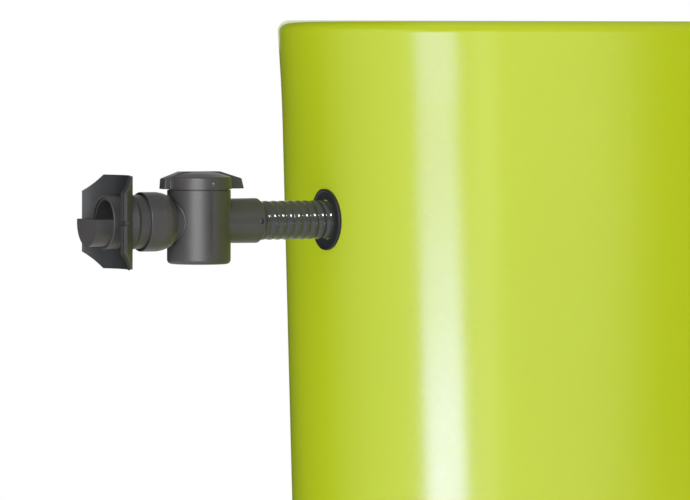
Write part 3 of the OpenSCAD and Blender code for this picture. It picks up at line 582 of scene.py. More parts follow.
# %% The tub
tub = bmesh.new()
turn_outline(tub, outline([
    (0, 0, 0), (groove_in, 0, 1.5), (groove_in + groove_d, groove_d, 1.5),
    (groove_out - groove_d, groove_d, 1.5), (groove_out, 0, 1.5),
    (base_r, 0, heel_round), (neck_r, neck_z, bend_round), (rim_r, barrel_h - rim_round, 0),
    (rim_r, barrel_h, rim_round), (rim_in_r, barrel_h, 3), (rim_in_r, seat_z, 1.5),
    (mouth_r, seat_z, 3), (mouth_r, seat_z - lip_h, 1.5), (mouth_r + wall, seat_z - lip_h, 1.5),
    (mouth_r + wall, seat_z - wall, 2), (rim_in_r + wall, seat_z - wall, 3),
    (rim_in_r + wall, barrel_h - wall, 2), (rim_r - wall, barrel_h - wall, rim_round - wall),
    (neck_r - wall, neck_z, bend_round), (base_r - wall, wall, heel_round - wall),
    (groove_out + wall, wall, 2), (groove_out - groove_d + wall, wall + groove_d, 2),
    (groove_in + groove_d - wall, wall + groove_d, 2), (groove_in - wall, wall, 2),
    (0, wall, 0)], step=20, guard=1.5), sides=256)
turn_outline(tub, outline([
    (tap_hole_r, pad_face, 0.5), (pad_r, pad_face, 1.5), (pad_r + 1.5, pad_face - pad_depth, 1),
    (tap_hole_r, pad_face - pad_depth, 0.5)]), axis="-Y", at=(0, 0, tap_axis.z))
tub = dress_piece(as_object(tub, "tub"), "barrel_shell", sharp=30)

# %% [markdown]
# ## The lid and its handle
# The lid is one moulding too: a panel with a hand pocket in the middle, a flange that lies on the
# ledge and a ring under it that keeps it centred. A separate grip bar is screwed across the pocket.
# Pieces that are more than one turned shape are joined and cut by boolean modifiers, and a bevel then
# rounds their edges. That follows how the mould is cut, and it leaves one closed skin.

# %% Joining helpers
def settle(thing):
    """Puts the result of an object's modifiers into its mesh."""
    graph = bpy.context.evaluated_depsgraph_get()
    mesh = bpy.data.meshes.new_from_object(thing.evaluated_get(graph))
    thing.modifiers.clear()
    thing.data = mesh
    return thing


def combine(base, joins=(), cuts=()):
    for tool, operation in [(t, "UNION") for t in joins] + [(t, "DIFFERENCE") for t in cuts]:
        step = base.modifiers.new(operation.lower(), "BOOLEAN")
        step.object, step.operation, step.solver = tool, operation, "EXACT"
        settle(base)
        bpy.data.objects.remove(tool)
    return base


def soften(piece, width, segments=3, flat=True):
    """Rounds the piece's edges, and where flat is true keeps its flat faces flat in the shading."""
    bevel = piece.modifiers.new("edge", "BEVEL")
    bevel.width, bevel.segments = width * MM, segments
    bevel.limit_method, bevel.angle_limit = "ANGLE", math.radians(32)
    settle(piece)
    if flat:
        piece.modifiers.new("flat", "WEIGHTED_NORMAL").keep_sharp = True
    return piece


# %% Turned and drawn-out shapes
def turned(name, corners, axis="Z", sides=128, at=(0, 0, 0), step=12.0, guard=0.6, flutes=(0, 0)):
    shape = bmesh.new()
    turn_outline(shape, outline(corners, step, guard), axis, sides, at, flutes)
    return as_object(shape, name)


def extruded(name, points, along):
    """A flat outline, drawn out along a vector."""
    shape = bmesh.new()
    shape.faces.new([shape.verts.new(point) for point in points])
    far_end = bmesh.ops.extrude_face_region(shape, geom=list(shape.faces))["geom"]
    bmesh.ops.translate(shape, verts=[v for v in far_end if isinstance(v, bmesh.types.BMVert)], vec=along)
    return as_object(shape, name)


# %% The lid
lid_gap, lid_t, panel_rise, ring_h = 1.5, 3.5, 5, 10
pocket_r, pocket_draft, pocket_d = 66, 8, 30
flange_z = seat_z + lid_t
panel_z = flange_z + panel_rise
panel_r, ring_r = mouth_r - 4, mouth_r - lid_gap
pocket_floor = panel_z - pocket_d
lid = turned("lid", [
    (0, pocket_floor, 0), (pocket_r - pocket_draft, pocket_floor, 4), (pocket_r, panel_z, 2.5),
    (panel_r - 8, panel_z, 4), (panel_r, flange_z, 4), (rim_in_r - lid_gap, flange_z, 1.2),
    (rim_in_r - lid_gap, seat_z, 0.8), (ring_r, seat_z, 0.8), (ring_r, seat_z - ring_h, 1),
    (ring_r - lid_t, seat_z - ring_h, 1), (ring_r - lid_t, seat_z, 1), (panel_r - 9, panel_z - lid_t, 2),
    (pocket_r + lid_t, panel_z - lid_t, 2), (pocket_r - pocket_draft + lid_t, pocket_floor - lid_t, 4),
    (0, pocket_floor - lid_t, 0)], sides=192, step=25, guard=1.2)
dress_piece(lid, "barrel_lid", sharp=30)

# %% The grip bar
lowest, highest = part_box("lid_handle")
bar_r = (highest.y - lowest.y) / 2
end_steps = 24
ends = []
for side in (1, -1):
    for k in range(end_steps + 1):
        turn = math.pi * (k / end_steps - 0.5)
        reach = highest.x - bar_r + bar_r * math.cos(turn)
        ends.append((side * reach, side * bar_r * math.sin(turn), lowest.z))
bar = extruded("grip_bar", ends, (0, 0, highest.z - lowest.z))
screw_x, screw_r, head_r, head_h = 75, 2.2, 4.2, 2.4
top_z = highest.z / MM
hole_low, hole_high = top_z - 20, top_z + 2
holes = [turned("hole", [(0, hole_low, 0), (screw_r, hole_low, 0), (screw_r, top_z - head_h, 0),
                         (head_r, top_z - head_h, 0), (head_r, hole_high, 0), (0, hole_high, 0)],
                sides=48, at=(side * screw_x * MM, 0, 0)) for side in (-1, 1)]
dress_piece(soften(combine(bar, cuts=holes), 1.2), "lid_handle")

# %% [markdown]
# ## The grommet
# The grommet is a rubber ring pressed into the hole in the wall. Its flange lies flat on the curved
# wall, so the turned outline is bent along the tub: each point keeps its height above the wall.

# %% The grommet
grommet_r, grommet_hole_r, grommet_bore_r = 28.25, 21.8, 18.1
lip_r, lip_reach, fit_gap = 25.2, 8, 0.05
face_r, dish_edge_r, proud, dish_proud, bore_proud = 26.6, 25.4, 3, 2, 1.6
fill_z = filter_axis.z / MM


def on_wall(radius, height, turn):
    y, z = radius * math.cos(turn), fill_z + radius * math.sin(turn)
    return Vector((-math.sqrt((wall_r(z) + height) ** 2 - y ** 2), y, z)) * MM


def join_loops(shape, loops, closed=True):
    """Joins loops of corners, each to the next and, where closed, the last to the first."""
    for here, there in zip(loops, loops[1:] + (loops[:1] if closed else [])):
        for k in range(len(here)):
            j = (k + 1) % len(here)
            shape.faces.new((here[k], here[j], there[j], there[k]))


def full_turn(sides):
    return [2 * math.pi * k / sides for k in range(sides)]


rings = outline([
    (grommet_bore_r, -lip_reach, 0.6), (lip_r, -lip_reach, 1), (lip_r, -wall - fit_gap, 0.5),
    (grommet_hole_r, -wall - fit_gap, 0.3), (grommet_hole_r, fit_gap, 0.3), (grommet_r, fit_gap, 0.5),
    (grommet_r, proud, 0.5), (face_r, proud, 0.4), (dish_edge_r, dish_proud, 2),
    (grommet_bore_r, bore_proud, 0.6)], step=2, guard=0.3)
grommet = bmesh.new()
join_loops(grommet, [[grommet.verts.new(on_wall(r, h, turn)) for r, h in rings] for turn in full_turn(128)])
dress_piece(as_object(grommet, "grommet"), "wall_grommet", sharp=40)

# %% [markdown]
# ## The ribbed hose
# The hose is extruded with one spiral rib, so its radius is a wave that climbs round the tube. It is
# drawn as a fine grid over length and angle, smooth where the ferrule grips it inside the socket. The
# wave is raised to a power below 1, which makes the rib broad and its valley narrow. Bump could draw the
# ribs too, but the outline would stay straight, and the ribs would not shade each other.

# %% The hose
hose_crest, hose_bore, rib_depth, rib_pitch = 17.9, 14.8, 1.5, 8.15
valley_fill, rib_power, ring_step = 0.3, 0.45, 0.45
socket_end = 59.5
hose_from = (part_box("filler_hose")[0].x - filter_axis.x) / MM
hose_to = (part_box("filler_hose")[1].x - filter_axis.x) / MM
wall_at = -wall_r(fill_z) - filter_axis.x / MM


def hose_radius(x, turn):
    share = min(1, max(0, (x - socket_end) / rib_pitch * 2))
    wave = (1 + math.cos(2 * math.pi * (x - wall_at) / rib_pitch - turn)) / 2
    return hose_crest - rib_depth * (1 - share * (valley_fill + (1 - valley_fill) * wave ** rib_power))


hose = bmesh.new()
steps = round((hose_to - hose_from) / ring_step)
places = [hose_from + (hose_to - hose_from) * i / steps for i in range(steps + 1)]
tube = [[(x, hose_radius(x, turn), turn) for turn in full_turn(96)] for x in places]
tube += [[(x, hose_bore, turn) for turn in full_turn(96)] for x in (hose_to, hose_from)]
join_loops(hose, [[hose.verts.new(Vector(turned_point("X", r, x, turn)) * MM + filter_axis)
                   for x, r, turn in loop] for loop in tube])
hose = dress_piece(as_object(hose, "ribbed_hose"), "filler_hose", sharp=60)
print("hose:", round(hose_to - hose_from, 1), "mm long")

# %% [markdown]
# ## The filter housing
# The housing is an upright cup with a thin inlet neck and a wider socket for the hose. Each is turned
# about its own axis and then joined, and the bores are cut last, as the mould's cores would do it.
# The joint with the inlet gets a small bead, which catches the light as a bright line, and a seam of the
# mould runs along each side of the socket.

# %% The housing's three turned shapes
housing_r, housing_top, housing_drop, cup_floor = 29, 28.4, 39.5, 4
bore_r, neck_out_r, neck_top = 25.8, 27.4, 38.65
inlet_neck_r, inlet_wall, stub_r, stub_from, stub_end = 18.4, 2.6, 21.2, 34, 57
socket_r, socket_bore_r, socket_chamfer = 20.5, 18.1, 2.2
nozzle_r, nozzle_bore_r, nozzle_end, socket_floor = 14.3, 12.3, 50.5, 33.8
seal_z, seal_h, seal_groove = 34.65, 2, 0.9
inside_cup, past = 8, 5
housing = turned("filter_cup", [
    (0, -housing_drop, 0), (housing_r - 4, -housing_drop + 0.6, 2), (housing_r, -housing_drop + 1.2, 4),
    (housing_r, housing_top, 0.5), (neck_out_r, housing_top, 0), (neck_out_r, seal_z, 0),
    (neck_out_r - seal_groove, seal_z, 0), (neck_out_r - seal_groove, seal_z + seal_h, 0),
    (neck_out_r, seal_z + seal_h, 0), (neck_out_r, neck_top, 0.4), (0, neck_top, 0)],
    at=filter_axis, step=6)
inlet = turned("inlet", [
    (0, -stub_end, 0), (stub_r, -stub_end, 0.8), (stub_r, -stub_from, 0.6), (inlet_neck_r, -stub_from, 0.6),
    (inlet_neck_r, -inside_cup, 0), (0, -inside_cup, 0)], axis="X", at=filter_axis, step=4)
socket = turned("socket", [
    (0, inside_cup, 0), (socket_r - 0.3, inside_cup, 0), (socket_r, socket_end - socket_chamfer, 0.5),
    (socket_bore_r + 0.8, socket_end, 0.4), (0, socket_end, 0)], axis="X", at=filter_axis, step=4)
print("housing:", 2 * housing_r, "mm wide, from", -stub_end, "to", socket_end, "mm along the filler")

# %% The housing's bores
def rod(radius, start, end, axis, at, rounding=0.0, step=6.0, sides=128):
    return turned("rod", [(0, start, 0), (radius, start, rounding), (radius, end, rounding), (0, end, 0)],
                  axis, sides, at, step)


inlet_bore_r = inlet_neck_r - inlet_wall
cup_bore = turned("bore", [
    (0, -housing_drop + cup_floor, 0), (bore_r, -housing_drop + cup_floor, 1), (bore_r, neck_top + past, 0),
    (0, neck_top + past, 0)], at=filter_axis, step=8)
inlet_bore = rod(inlet_bore_r, -stub_end - past, -2, "X", filter_axis, step=12)
socket_bore = turned("bore", [
    (nozzle_r, socket_floor, 0), (socket_bore_r, socket_floor, 0), (socket_bore_r, socket_end + past, 0),
    (0, socket_end + past, 0), (0, nozzle_end, 0), (nozzle_r, nozzle_end, 0)], axis="X", at=filter_axis)
nozzle_bore = rod(nozzle_bore_r, 2, nozzle_end + 2, "X", filter_axis, step=12)
print("bores: cup", bore_r, "inlet", inlet_bore_r, "socket", socket_bore_r, "nozzle", nozzle_bore_r)

# %% Blocks and beads
def block(name, low, high, at=filter_axis):
    """A plain block between two corners in millimetres from a point."""
    shape = bmesh.new()
    bmesh.ops.create_cube(shape, size=1)
    for vert in shape.verts:
        place = [a + (b - a) * (c + 0.5) for a, b, c in zip(low, high, vert.co)]
        vert.co = Vector(place) * MM + at
    return as_object(shape, name)


def side_blocks(name, along, across, half_height):
    """Two blocks, one on each side of the filler's axis."""
    return [block(name, (along[0], min(side * a for a in across), -half_height),
                  (along[1], max(side * a for a in across), half_height)) for side in (-1, 1)]


def bead(name, line, radius, sides=10):
    """A closed rope of small radius along a line of points in millimetres from the filter's axis."""
    shape = bmesh.new()
    loops = []
    for k, point in enumerate(line):
        along = (line[(k + 1) % len(line)] - line[k - 1]).normalized()
        out = along.cross(Vector((0, point.y, point.z))).normalized()
        over = along.cross(out)
        ring = [point + out * radius * math.cos(turn) + over * radius * math.sin(turn)
                for turn in full_turn(sides)]
        loops.append([shape.verts.new(spot * MM + filter_axis) for spot in ring])
    join_loops(shape, loops)
    return as_object(shape, name)


# %% Latch windows, seams and the bead
latch_x, latch_len, latch_w = socket_end - 5.7, 4.2, 5
latch_from, latch_to = latch_x - latch_len / 2, latch_x + latch_len / 2
seam_from, seam_proud, seam_half, bead_r = 20, 0.45, 0.55, 1.0
through_wall = (15, 25)
windows = side_blocks("window", (latch_from, latch_to), through_wall, latch_w / 2)
seams = side_blocks("seam", (seam_from, latch_from - 1), (socket_r - 1, socket_r + seam_proud), seam_half)
inlet_line = [Vector((-math.sqrt(housing_r ** 2 - (inlet_neck_r * math.cos(t)) ** 2),
                      inlet_neck_r * math.cos(t), inlet_neck_r * math.sin(t))) for t in full_turn(96)]
combine(housing, joins=[inlet, socket, bead("fillet", inlet_line, bead_r)] + seams,
        cuts=[cup_bore, inlet_bore, socket_bore, nozzle_bore] + windows)
dress_piece(soften(housing, 0.45, segments=2), "filter_housing")

# %% [markdown]
# ## The ferrule
# A ring sits in the socket and grips the hose. Its two noses snap into the socket's windows, where they
# show from outside, so each is a block with rounded edges that is joined to the turned ring.

# %% The ferrule
ferrule_gap, nose_root = 0.2, 16.9
ferrule_r, ferrule_bore_r = socket_bore_r - ferrule_gap, hose_crest - rib_depth + ferrule_gap
ferrule_from, ferrule_to = nozzle_end - 10, socket_end - 0.5
ferrule = turned("ferrule", [
    (ferrule_bore_r, ferrule_from, 0.3), (ferrule_r, ferrule_from, 0.4), (ferrule_r, ferrule_to, 0.4),
    (ferrule_bore_r, ferrule_to, 0.3)], axis="X", at=filter_axis, step=4)
nose_from = latch_from + ferrule_gap
noses = side_blocks("nose", (nose_from, nose_from + latch_len / 2), (nose_root, socket_r + ferrule_gap),
                    latch_w / 2 - ferrule_gap)
combine(ferrule, joins=[soften(nose, 0.9, flat=False) for nose in noses])
dress_piece(ferrule, "hose_ferrule", sharp=40)

# %% [markdown]
# ## The cap
# The cap is a shallow dome on a skirt, crossed by a grip bar whose ends stand out as two ears. It
# turns on a shouldered screw, for which the dome has a boss inside. A round pip on the skirt shows which
# way the cap is set; it is a piece of its own, so that the panel that picks out the ribs can reach it.

# %% The cap
cap_r, cap_in_r, cap_bottom, cap_shoulder, cap_top = 29.6, 27.8, 29.1, 40.1, 45.3
cap_roof, boss_r, pin_hole_r, boss_bottom = 38.7, 5.5, 2.7, 31.1
ear_w, ear_short, ear_long, ear_flat, ear_tip = 12, 37.5, 43, 19, cap_shoulder - 1.2
root_w, root_reach, root_top = ear_w + 2, cap_r + 2.9, cap_bottom + 9.4
ear_bottom, hollow_gap = cap_bottom + 0.4, 0.6
cap = turned("cap_dome", [
    (0, cap_top, 0), (9, cap_top - 0.1, 20), (20, cap_top - 2, 20), (cap_r, cap_shoulder, 2.2),
    (cap_r, cap_bottom, 0.4), (cap_in_r, cap_bottom, 0.3), (cap_in_r, cap_roof, 0.8),
    (boss_r, cap_roof, 0.8), (boss_r, boss_bottom, 0.3), (pin_hole_r, boss_bottom, 0),
    (pin_hole_r, cap_roof, 0), (0, cap_roof, 0)], at=filter_axis, step=5)
side_view = [(-ear_short, ear_bottom), (-ear_short + 0.8, ear_tip), (-ear_flat, cap_top),
             (ear_flat, cap_top), (ear_long - 2.5, ear_tip), (ear_long, ear_bottom)]
near_side = [Vector((x, -ear_w / 2, z)) * MM + filter_axis for x, z in side_view]
ears = extruded("ears", near_side, (0, ear_w * MM, 0))
hollow = rod(cap_in_r + hollow_gap, cap_bottom - past, cap_roof + hollow_gap, "Z", filter_axis, step=12)
root = block("root", (-root_reach, -root_w / 2, ear_bottom), (root_reach, root_w / 2, root_top))
foot_reach, foot_half = cap_r - 0.7, root_w / 2 + 1.2
foot = block("foot", (-foot_reach, -foot_half, ear_bottom), (foot_reach, foot_half, root_top - 0.6))
for arm in (ears, root, foot):
    soften(arm, 0.9, flat=False)
combine(ears, joins=[root, foot], cuts=[hollow])
cap = dress_piece(soften(combine(cap, joins=[ears]), 0.4, segments=2), "filter_cap")

# %% The pip on the cap's skirt
pip_r, pip_bend, pip_up, pip_root = 2.0, 4.0, 4.8, 0.8
slopes = [math.asin(pip_r / pip_bend) * (1 - k / 6) for k in range(7)]
pip_edge = cap_r - pip_bend * math.cos(slopes[0])
pip = turned("cap_pip", [(0, cap_r - pip_root, 0), (pip_r, cap_r - pip_root, 0)]
             + [(pip_bend * math.sin(slope), pip_edge + pip_bend * math.cos(slope), 0) for slope in slopes],
             axis="-Y", sides=32, at=filter_axis + Vector((0, 0, (cap_bottom + pip_up) * MM)), step=3)
pip.data.materials.append(dark_polypropylene)
pip.data.shade_smooth()
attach(pip, "cap")
print(pip.name, len(pip.data.polygons), "faces")

# %% [markdown]
# ## The union collar and the saddle
# The collar is a smooth ring nut with a tapered nose. The saddle is a thin curved plate with cut
# corners, with a tube through it, and a rubber pad on its hollow side. The plate could be cut out of a
# tube, but it is drawn as a grid that is bent round the axis, because even faces take a bevel cleanly.

# %% The collar
pipe_reach = 126
pipe_axis = filter_axis - Vector((pipe_reach * MM, 0, 0))
collar_r, collar_from, collar_to, collar_in_r = 27, 66.5, 94, 24.7
nose_bore_r, nose_bore_from = 21.4, 84
collar = turned("union_collar_ring", [
    (collar_in_r, collar_from, 0.5), (collar_r, collar_from, 0.8), (collar_r, collar_to - 12, 6),
    (collar_r - 0.9, collar_to - 6.5, 6), (collar_r - 3.5, collar_to, 1), (nose_bore_r, collar_to, 0.4),
    (nose_bore_r, nose_bore_from, 0), (collar_in_r, nose_bore_from, 0)], axis="X", at=pipe_axis, step=3)
dress_piece(collar, "union_collar", sharp=40)

# %% The curved plate
saddle_h, saddle_w, saddle_cut = 84, 82, 15
pad_in_r, plate_in_r, plate_r = 50.15, 51.65, 53.85


def bent_plate(name, inner, outer, grow):
    """A plate with cut corners, bent round the saddle's axis between two radii."""
    half_w, half_h = saddle_w / 2 + grow, saddle_h / 2 + grow
    cut_from = half_w - saddle_cut
    cut_steps, flat_steps, rows = 6, 36, 20
    columns = [-half_w + saddle_cut * k / cut_steps for k in range(cut_steps)]
    columns += [-cut_from + 2 * cut_from * k / flat_steps for k in range(flat_steps + 1)]
    columns += [cut_from + saddle_cut * k / cut_steps for k in range(1, cut_steps + 1)]
    shape = bmesh.new()
    sheets = []
    for radius in (inner, outer):
        sheet = []
        for y in columns:
            reach = half_h - max(0, abs(y) - cut_from)
            x = math.sqrt(radius ** 2 - y ** 2)
            sheet.append([shape.verts.new(Vector((x, y, reach * (2 * k / rows - 1))) * MM + pipe_axis)
                          for k in range(rows + 1)])
        sheets.append(sheet)
    for sheet in sheets:
        for left, right in zip(sheet, sheet[1:]):
            for k in range(rows):
                shape.faces.new((left[k], right[k], right[k + 1], left[k + 1]))
    edge = [[column[0] for column in sheet] + sheet[-1][1:] + [column[-1] for column in sheet[-2::-1]]
            + sheet[0][-2:0:-1] for sheet in sheets]
    join_loops(shape, edge, closed=False)
    return as_object(shape, name)


saddle = bent_plate("saddle", plate_in_r, plate_r, 0)
print("saddle plate:", saddle_w, "x", saddle_h, "mm, bent to", plate_in_r, "mm")

# %% The saddle and its pad
tube_r, tube_in_r, spigot_end, tube_end = 24.5, 22.1, 30, 80
groove_at, groove_len, groove_deep = 42, 1.6, 1
pad_hole_r, pad_grow, notch_r = 25.5, 0.6, 2
groove_to, groove_floor_r = groove_at + groove_len, tube_r - groove_deep


def plate_holes(radius, half_width):
    """The hole for the tube, and a notch in the middle of each side edge."""
    sides = [pipe_axis + Vector((0, side * half_width * MM, 0)) for side in (-1, 1)]
    return [rod(radius, 20, 70, "X", pipe_axis)] + [rod(notch_r, 20, 60, "X", at) for at in sides]


tube = turned("tube", [
    (tube_in_r, spigot_end, 0.5), (tube_r, spigot_end, 0.6), (tube_r, groove_at, 0),
    (groove_floor_r, groove_at, 0), (groove_floor_r, groove_to, 0), (tube_r, groove_to, 0),
    (tube_r, tube_end, 0.6), (tube_in_r, tube_end, 0.5)], axis="X", at=pipe_axis, step=3)
skirt = turned("skirt", [
    (tube_r - 1, plate_r - 12, 0), (tube_r + 1.5, plate_r - 12, 0), (tube_r + 3.5, plate_r - 0.5, 0),
    (tube_r, plate_r + 3.5, 2), (tube_r - 1, plate_r + 3.5, 0)], axis="X", at=pipe_axis, step=2)
combine(skirt, cuts=[rod(plate_in_r + 0.2, -60, 60, "Z", pipe_axis, step=12, sides=256)])
combine(saddle, cuts=plate_holes(tube_r - 0.5, saddle_w / 2))
dress_piece(soften(combine(saddle, joins=[skirt, tube]), 0.4, segments=2), "pipe_saddle")
pad = bent_plate("saddle_rubber", pad_in_r, plate_in_r, pad_grow)
combine(pad, cuts=plate_holes(pad_hole_r, saddle_w / 2 + pad_grow))
dress_piece(soften(pad, 0.3, segments=2), "saddle_pad")

# %% [markdown]
# ## The tap
# The tap is a moulded ball valve. Its body is a rod with a flange, a gland for the spindle and a spout,
# each turned about its own axis and then joined, with the bores cut last. The end plug, the union nut
# and the hose tail are plain turnings, and the nut is fluted for the fingers.

# %% The tap body
tap_root = Vector((0, -pad_face * MM, tap_axis.z))
gasket_t, tail_r, flange_r, flange_t, tap_r, tap_front = 3, 13.2, 22.2, 5, 16.5, 68
ball_at, chamber_r, chamber_from, flow_bore_r = 31, 12.5, 19, 7
gland_r, gland_top, spindle_bore_r, gland_bore_r, gland_pocket = 8.5, 25.5, 4.2, 6, 3
spout_at, spout_r, spout_drop, spout_bore_r = 54, 12, 32, 8
tail_end = -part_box("tap_body")[1].y / MM - pad_face
over_ball = tap_root - Vector((0, ball_at * MM, 0))
over_spout = tap_root - Vector((0, spout_at * MM, 0))
tap_body = turned("tap_valve_body", [
    (0, tail_end, 0), (tail_r, tail_end, 0.8), (tail_r, gasket_t, 0), (flange_r, gasket_t, 0.6),
    (flange_r, gasket_t + flange_t, 1.5), (tap_r, gasket_t + flange_t, 2), (tap_r, tap_front, 0.8),
    (0, tap_front, 0)], axis="-Y", at=tap_root, step=6)
combine(tap_body, joins=[rod(gland_r, 0, gland_top, "Z", over_ball, 0.8),
                         rod(spout_r, -spout_drop, 0, "Z", over_spout, 0.5)],
        cuts=[rod(flow_bore_r, tail_end - 1, chamber_from + 1, "-Y", tap_root),
              rod(chamber_r, chamber_from, tap_front + 1, "-Y", tap_root),
              rod(spindle_bore_r, 0, gland_top + 1, "Z", over_ball),
              rod(gland_bore_r, gland_top - gland_pocket, gland_top + 1, "Z", over_ball),
              rod(spout_bore_r, -spout_drop - 1, 0, "Z", over_spout)])
dress_piece(soften(tap_body, 0.5, segments=2), "tap_body")

# %% The end plug
plug_from, plug_r, plug_bore_r, plug_seal_t, plug_cap_t, dish_r, dish = 43, 12.3, 7, 1.6, 6, 10, 0.9
plug_cap_r, cap_from = tap_r - 1, tap_front + plug_seal_t
cap_to, bore_end = cap_from + plug_cap_t, spout_at + plug_bore_r
plug = turned("tap_plug", [
    (plug_bore_r, plug_from, 0), (plug_r, plug_from, 0.4), (plug_r, cap_from, 0),
    (plug_cap_r, cap_from, 0.5), (plug_cap_r, cap_to, 1.6), (dish_r, cap_to, 0.5),
    (dish_r - dish, cap_to - dish, 0.5), (0, cap_to - dish, 0), (0, bore_end, 0),
    (plug_bore_r, bore_end, 0)], axis="-Y", at=tap_root, step=4)
combine(plug, cuts=[rod(spout_bore_r, -chamber_r - 1, 0, "Z", over_spout)])
dress_piece(plug, "tap_end_plug")

# %% The union nut and the hose tail
washer_t, tail_flange_t, nut_lip, nut_up, nut_r = 2, 3, 3, 13, 16.5
nut_gap, spout_gap, flutes = 0.2, 0.1, (20, 0.9)
tip_r, barb_r, tip_bore_r, tip_len, barb_len, barb_back, nozzle_len = 9.3, 10.2, 6.7, 10, 9, 0.6, 34
tail_top = -spout_drop - washer_t
tail_flange = tail_top - tail_flange_t
nut_bottom, nut_top = tail_flange - nut_lip, nut_up - spout_drop
nut_hole_r, nut_bore_r = tip_r + nut_gap, spout_r + spout_gap
tip = nut_bottom - nozzle_len
nut = turned("union_nut", [
    (nut_hole_r, nut_bottom, 0.4), (nut_r, nut_bottom, 1.5), (nut_r, nut_top, 1.5),
    (nut_bore_r, nut_top, 0.4), (nut_bore_r, nut_bottom + nut_lip, 0),
    (nut_hole_r, nut_bottom + nut_lip, 0)], at=over_spout, sides=240, step=4, flutes=flutes)
dress_piece(nut, "tail_nut", sharp=50)
barbs = []
for k in range(2):
    barb_from = tip + tip_len + k * barb_len
    barb_to = barb_from + barb_len - barb_back
    barbs += [(tip_r, barb_from, 0), (barb_r, barb_to, 0.2), (tip_r, barb_to, 0.1)]
tail = turned("barbed_tail", [(tip_bore_r, tip, 0.4), (tip_r, tip, 0.9)] + barbs + [
    (tip_r, tail_flange, 0.3), (spout_r, tail_flange, 0.4), (spout_r, tail_top, 0.3),
    (tip_bore_r, tail_top, 0.3)], at=over_spout, step=4)
dress_piece(tail, "hose_tail", sharp=50)

# %% [markdown]
# ## The lever
# The lever is a hub with an arm that rises as it goes out and ends in a rounded tip. The arm is a row of
# soft-cornered sections, each a little higher and at the tip narrower than the one before. A bent box
# with a bevel would be quicker, but its section would not stay as round as a moulded grip's.

# %% A section of the lever's arm
hub_r, hub_h, lever_len, lever_w, lever_t, lever_rise, tip_flat = 9.5, 10, 62, 12, 6, 8, 20
hub_z = gland_top + 0.4
hub_top = hub_z + hub_h
square_half, square_roof, screw_hole_r = 2.9, 1.8, 1.8
squareness, arm_step, tip_steps = 0.45, 1.5, 10


def arm_section(y):
    climb = min(1, max(0, (y - hub_r) / (lever_len - tip_flat - hub_r)))
    climb = climb * climb * (3 - 2 * climb)
    low = hub_z + 2 + lever_rise * climb
    high = hub_top + (lever_rise + lever_t + 2 - hub_h) * climb
    narrow = max(0, (y - lever_len + lever_w / 2) / (lever_w / 2))
    width = lever_w * math.sqrt(max(0.02, 1 - narrow * narrow))
    ring = []
    for turn in full_turn(32):
        c, s = math.cos(turn), math.sin(turn)
        ring.append(Vector((y, width / 2 * math.copysign(abs(c) ** squareness, c),
                            (low + high) / 2 + (high - low) / 2 * math.copysign(abs(s) ** squareness, s))))
    return ring


print("arm: from", hub_z + 2, "mm over the ball to", hub_z + 2 + lever_rise, "mm at the tip")

# %% The lever
arm = bmesh.new()
straight_steps = int((lever_len - lever_w / 2) / arm_step)
places = [k * arm_step for k in range(straight_steps)]
tip_turns = [math.pi / 2 * k / tip_steps for k in range(tip_steps + 1)]
places += [lever_len - lever_w / 2 * (1 - math.sin(turn)) for turn in tip_turns]
loops = [[arm.verts.new(point * MM + over_ball) for point in arm_section(y)] for y in places]
for here, there in zip(loops, loops[1:]):
    for k in range(len(here)):
        arm.faces.new((here[k], here[k - 1], there[k - 1], there[k]))
arm.faces.new(loops[0])
arm.faces.new(loops[-1])
lever = turned("lever", [(0, hub_z, 0), (hub_r, hub_z, 0.6), (hub_r, hub_top, 1.8), (0, hub_top, 0)],
               at=over_ball, step=3)
square = block("square", (-square_half, -square_half, hub_z - 1),
               (square_half, square_half, hub_top - square_roof), over_ball)
combine(lever, joins=[as_object(arm, "arm")],
        cuts=[square, rod(screw_hole_r, hub_z, hub_top + 5, "Z", over_ball)])
dress_piece(soften(lever, 0.4, segments=2), "tap_lever")

# %% [markdown]
# ## Screws
# The lever and the grip bar are held by stainless pan-head screws with a cross recess. The recess is
# cut into the head, so that it is also there in the mesh when the part is used without its finishes.

# %% Screws
def pan_screw(name, at, head_r, head_h, shank_r, shank):
    head = turned(name, [(0, -shank, 0), (shank_r, -shank, 0.3), (shank_r, 0, 0), (head_r, 0, 0.2),
                         (head_r, head_h, head_h * 0.7), (0, head_h, 0)], sides=64, at=at, step=3)
    slot_half, slot_long, deep = head_r * 0.14, head_r * 0.6, head_h * 0.55
    for x, y in ((slot_long, slot_half), (slot_half, slot_long)):
        combine(head, cuts=[block("recess", (-x, -y, head_h - deep), (x, y, head_h + 1), at)])
    return head


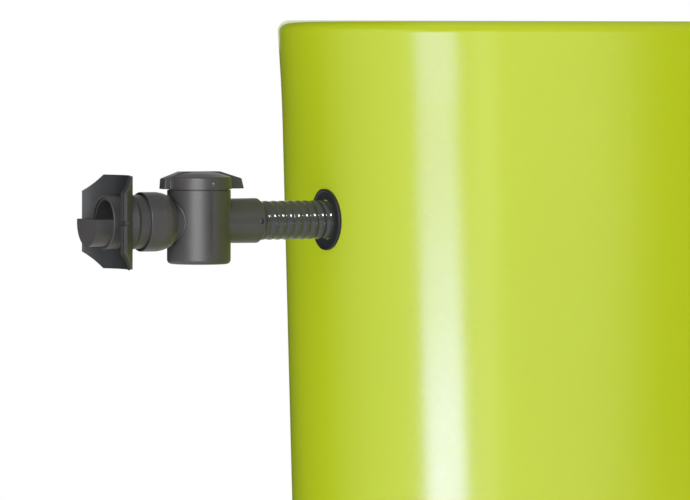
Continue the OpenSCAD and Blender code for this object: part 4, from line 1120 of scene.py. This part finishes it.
lever_screw = pan_screw("lever_pan_screw", over_ball + Vector((0, 0, hub_top * MM)), 4, 2.2, 1.6, 8.5)
dress_piece(lever_screw, "lever_screw")
screw_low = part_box("lid_handle_screws")[0].z / MM
screw_gap, head_gap, head_z = 0.2, 0.4, top_z - head_h
lid_screws = [pan_screw("grip_bar_screws", Vector((side * screw_x, 0, head_z)) * MM, head_r - screw_gap,
                        head_h - head_gap, screw_r - screw_gap, head_z - screw_low) for side in (-1, 1)]
dress_piece(combine(lid_screws[0], joins=lid_screws[1:]), "lid_handle_screws")

# %% [markdown]
# ## The pieces that stay as they are
# Seals, the strainer and the pieces inside the tap are plain turned or moulded shapes that the solids
# already show, so they only take the finish of their material.

# %% Finishes for the remaining solids
for node, thing in frame["nodes"].items():
    thing.data.materials.clear()
    thing.data.materials.append(slot_finish[slot_of[node]])
print("finished", len(frame["nodes"]), "solids")

# %% [markdown]
# ## Which lamp is mirrored where
# The streak belongs to the tub and its lid, the small boxes to the filter set and the tap, and the
# rib lamps to the hose and the pip, so each lamp is told which pieces it reaches. This is Blender's
# light linking. A lamp is also blocked only by what it reaches, apart from the one that gives the
# floor its shadow. The filter's own pieces are left out of reflections, so that they don't show as
# dark shapes in the tub and in each other.

# %% Light linking
glossy_green = [tub, lid]
cards = [thing for thing in bpy.data.objects if thing.name.startswith("card_")]
fittings = [thing for thing in bpy.data.objects
            if thing.type == "MESH" and thing not in glossy_green + cards + [floor]]
satin_grey = [thing for thing in fittings if thing not in (hose, pip)]
for lamps, pieces in (((tub_key, streak, side_glow, front_glow, tub_fill), glossy_green),
                      ((set_box, set_side, set_glint), satin_grey), ((rib_glint, rib_line), [hose, pip]),
                      ((set_bounce,), fittings + cards), ((set_key,), fittings + [floor])):
    reached = bpy.data.collections.new("reached_by_" + lamps[0].name)
    for thing in pieces:
        reached.objects.link(thing)
    for lamp in lamps:
        lamp.light_linking.receiver_collection = reached
        if lamp is not set_key:
            lamp.light_linking.blocker_collection = reached
    print(", ".join(lamp.name for lamp in lamps), "reach", len(pieces), "pieces")
inside_filter = ("cap_seal", "shutter_sleeve", "filter_basket", "basket_pin", "hose_ferrule")
for thing in [housing, cap, hose] + [frame["nodes"][node] for node in inside_filter]:
    thing.visible_glossy = False
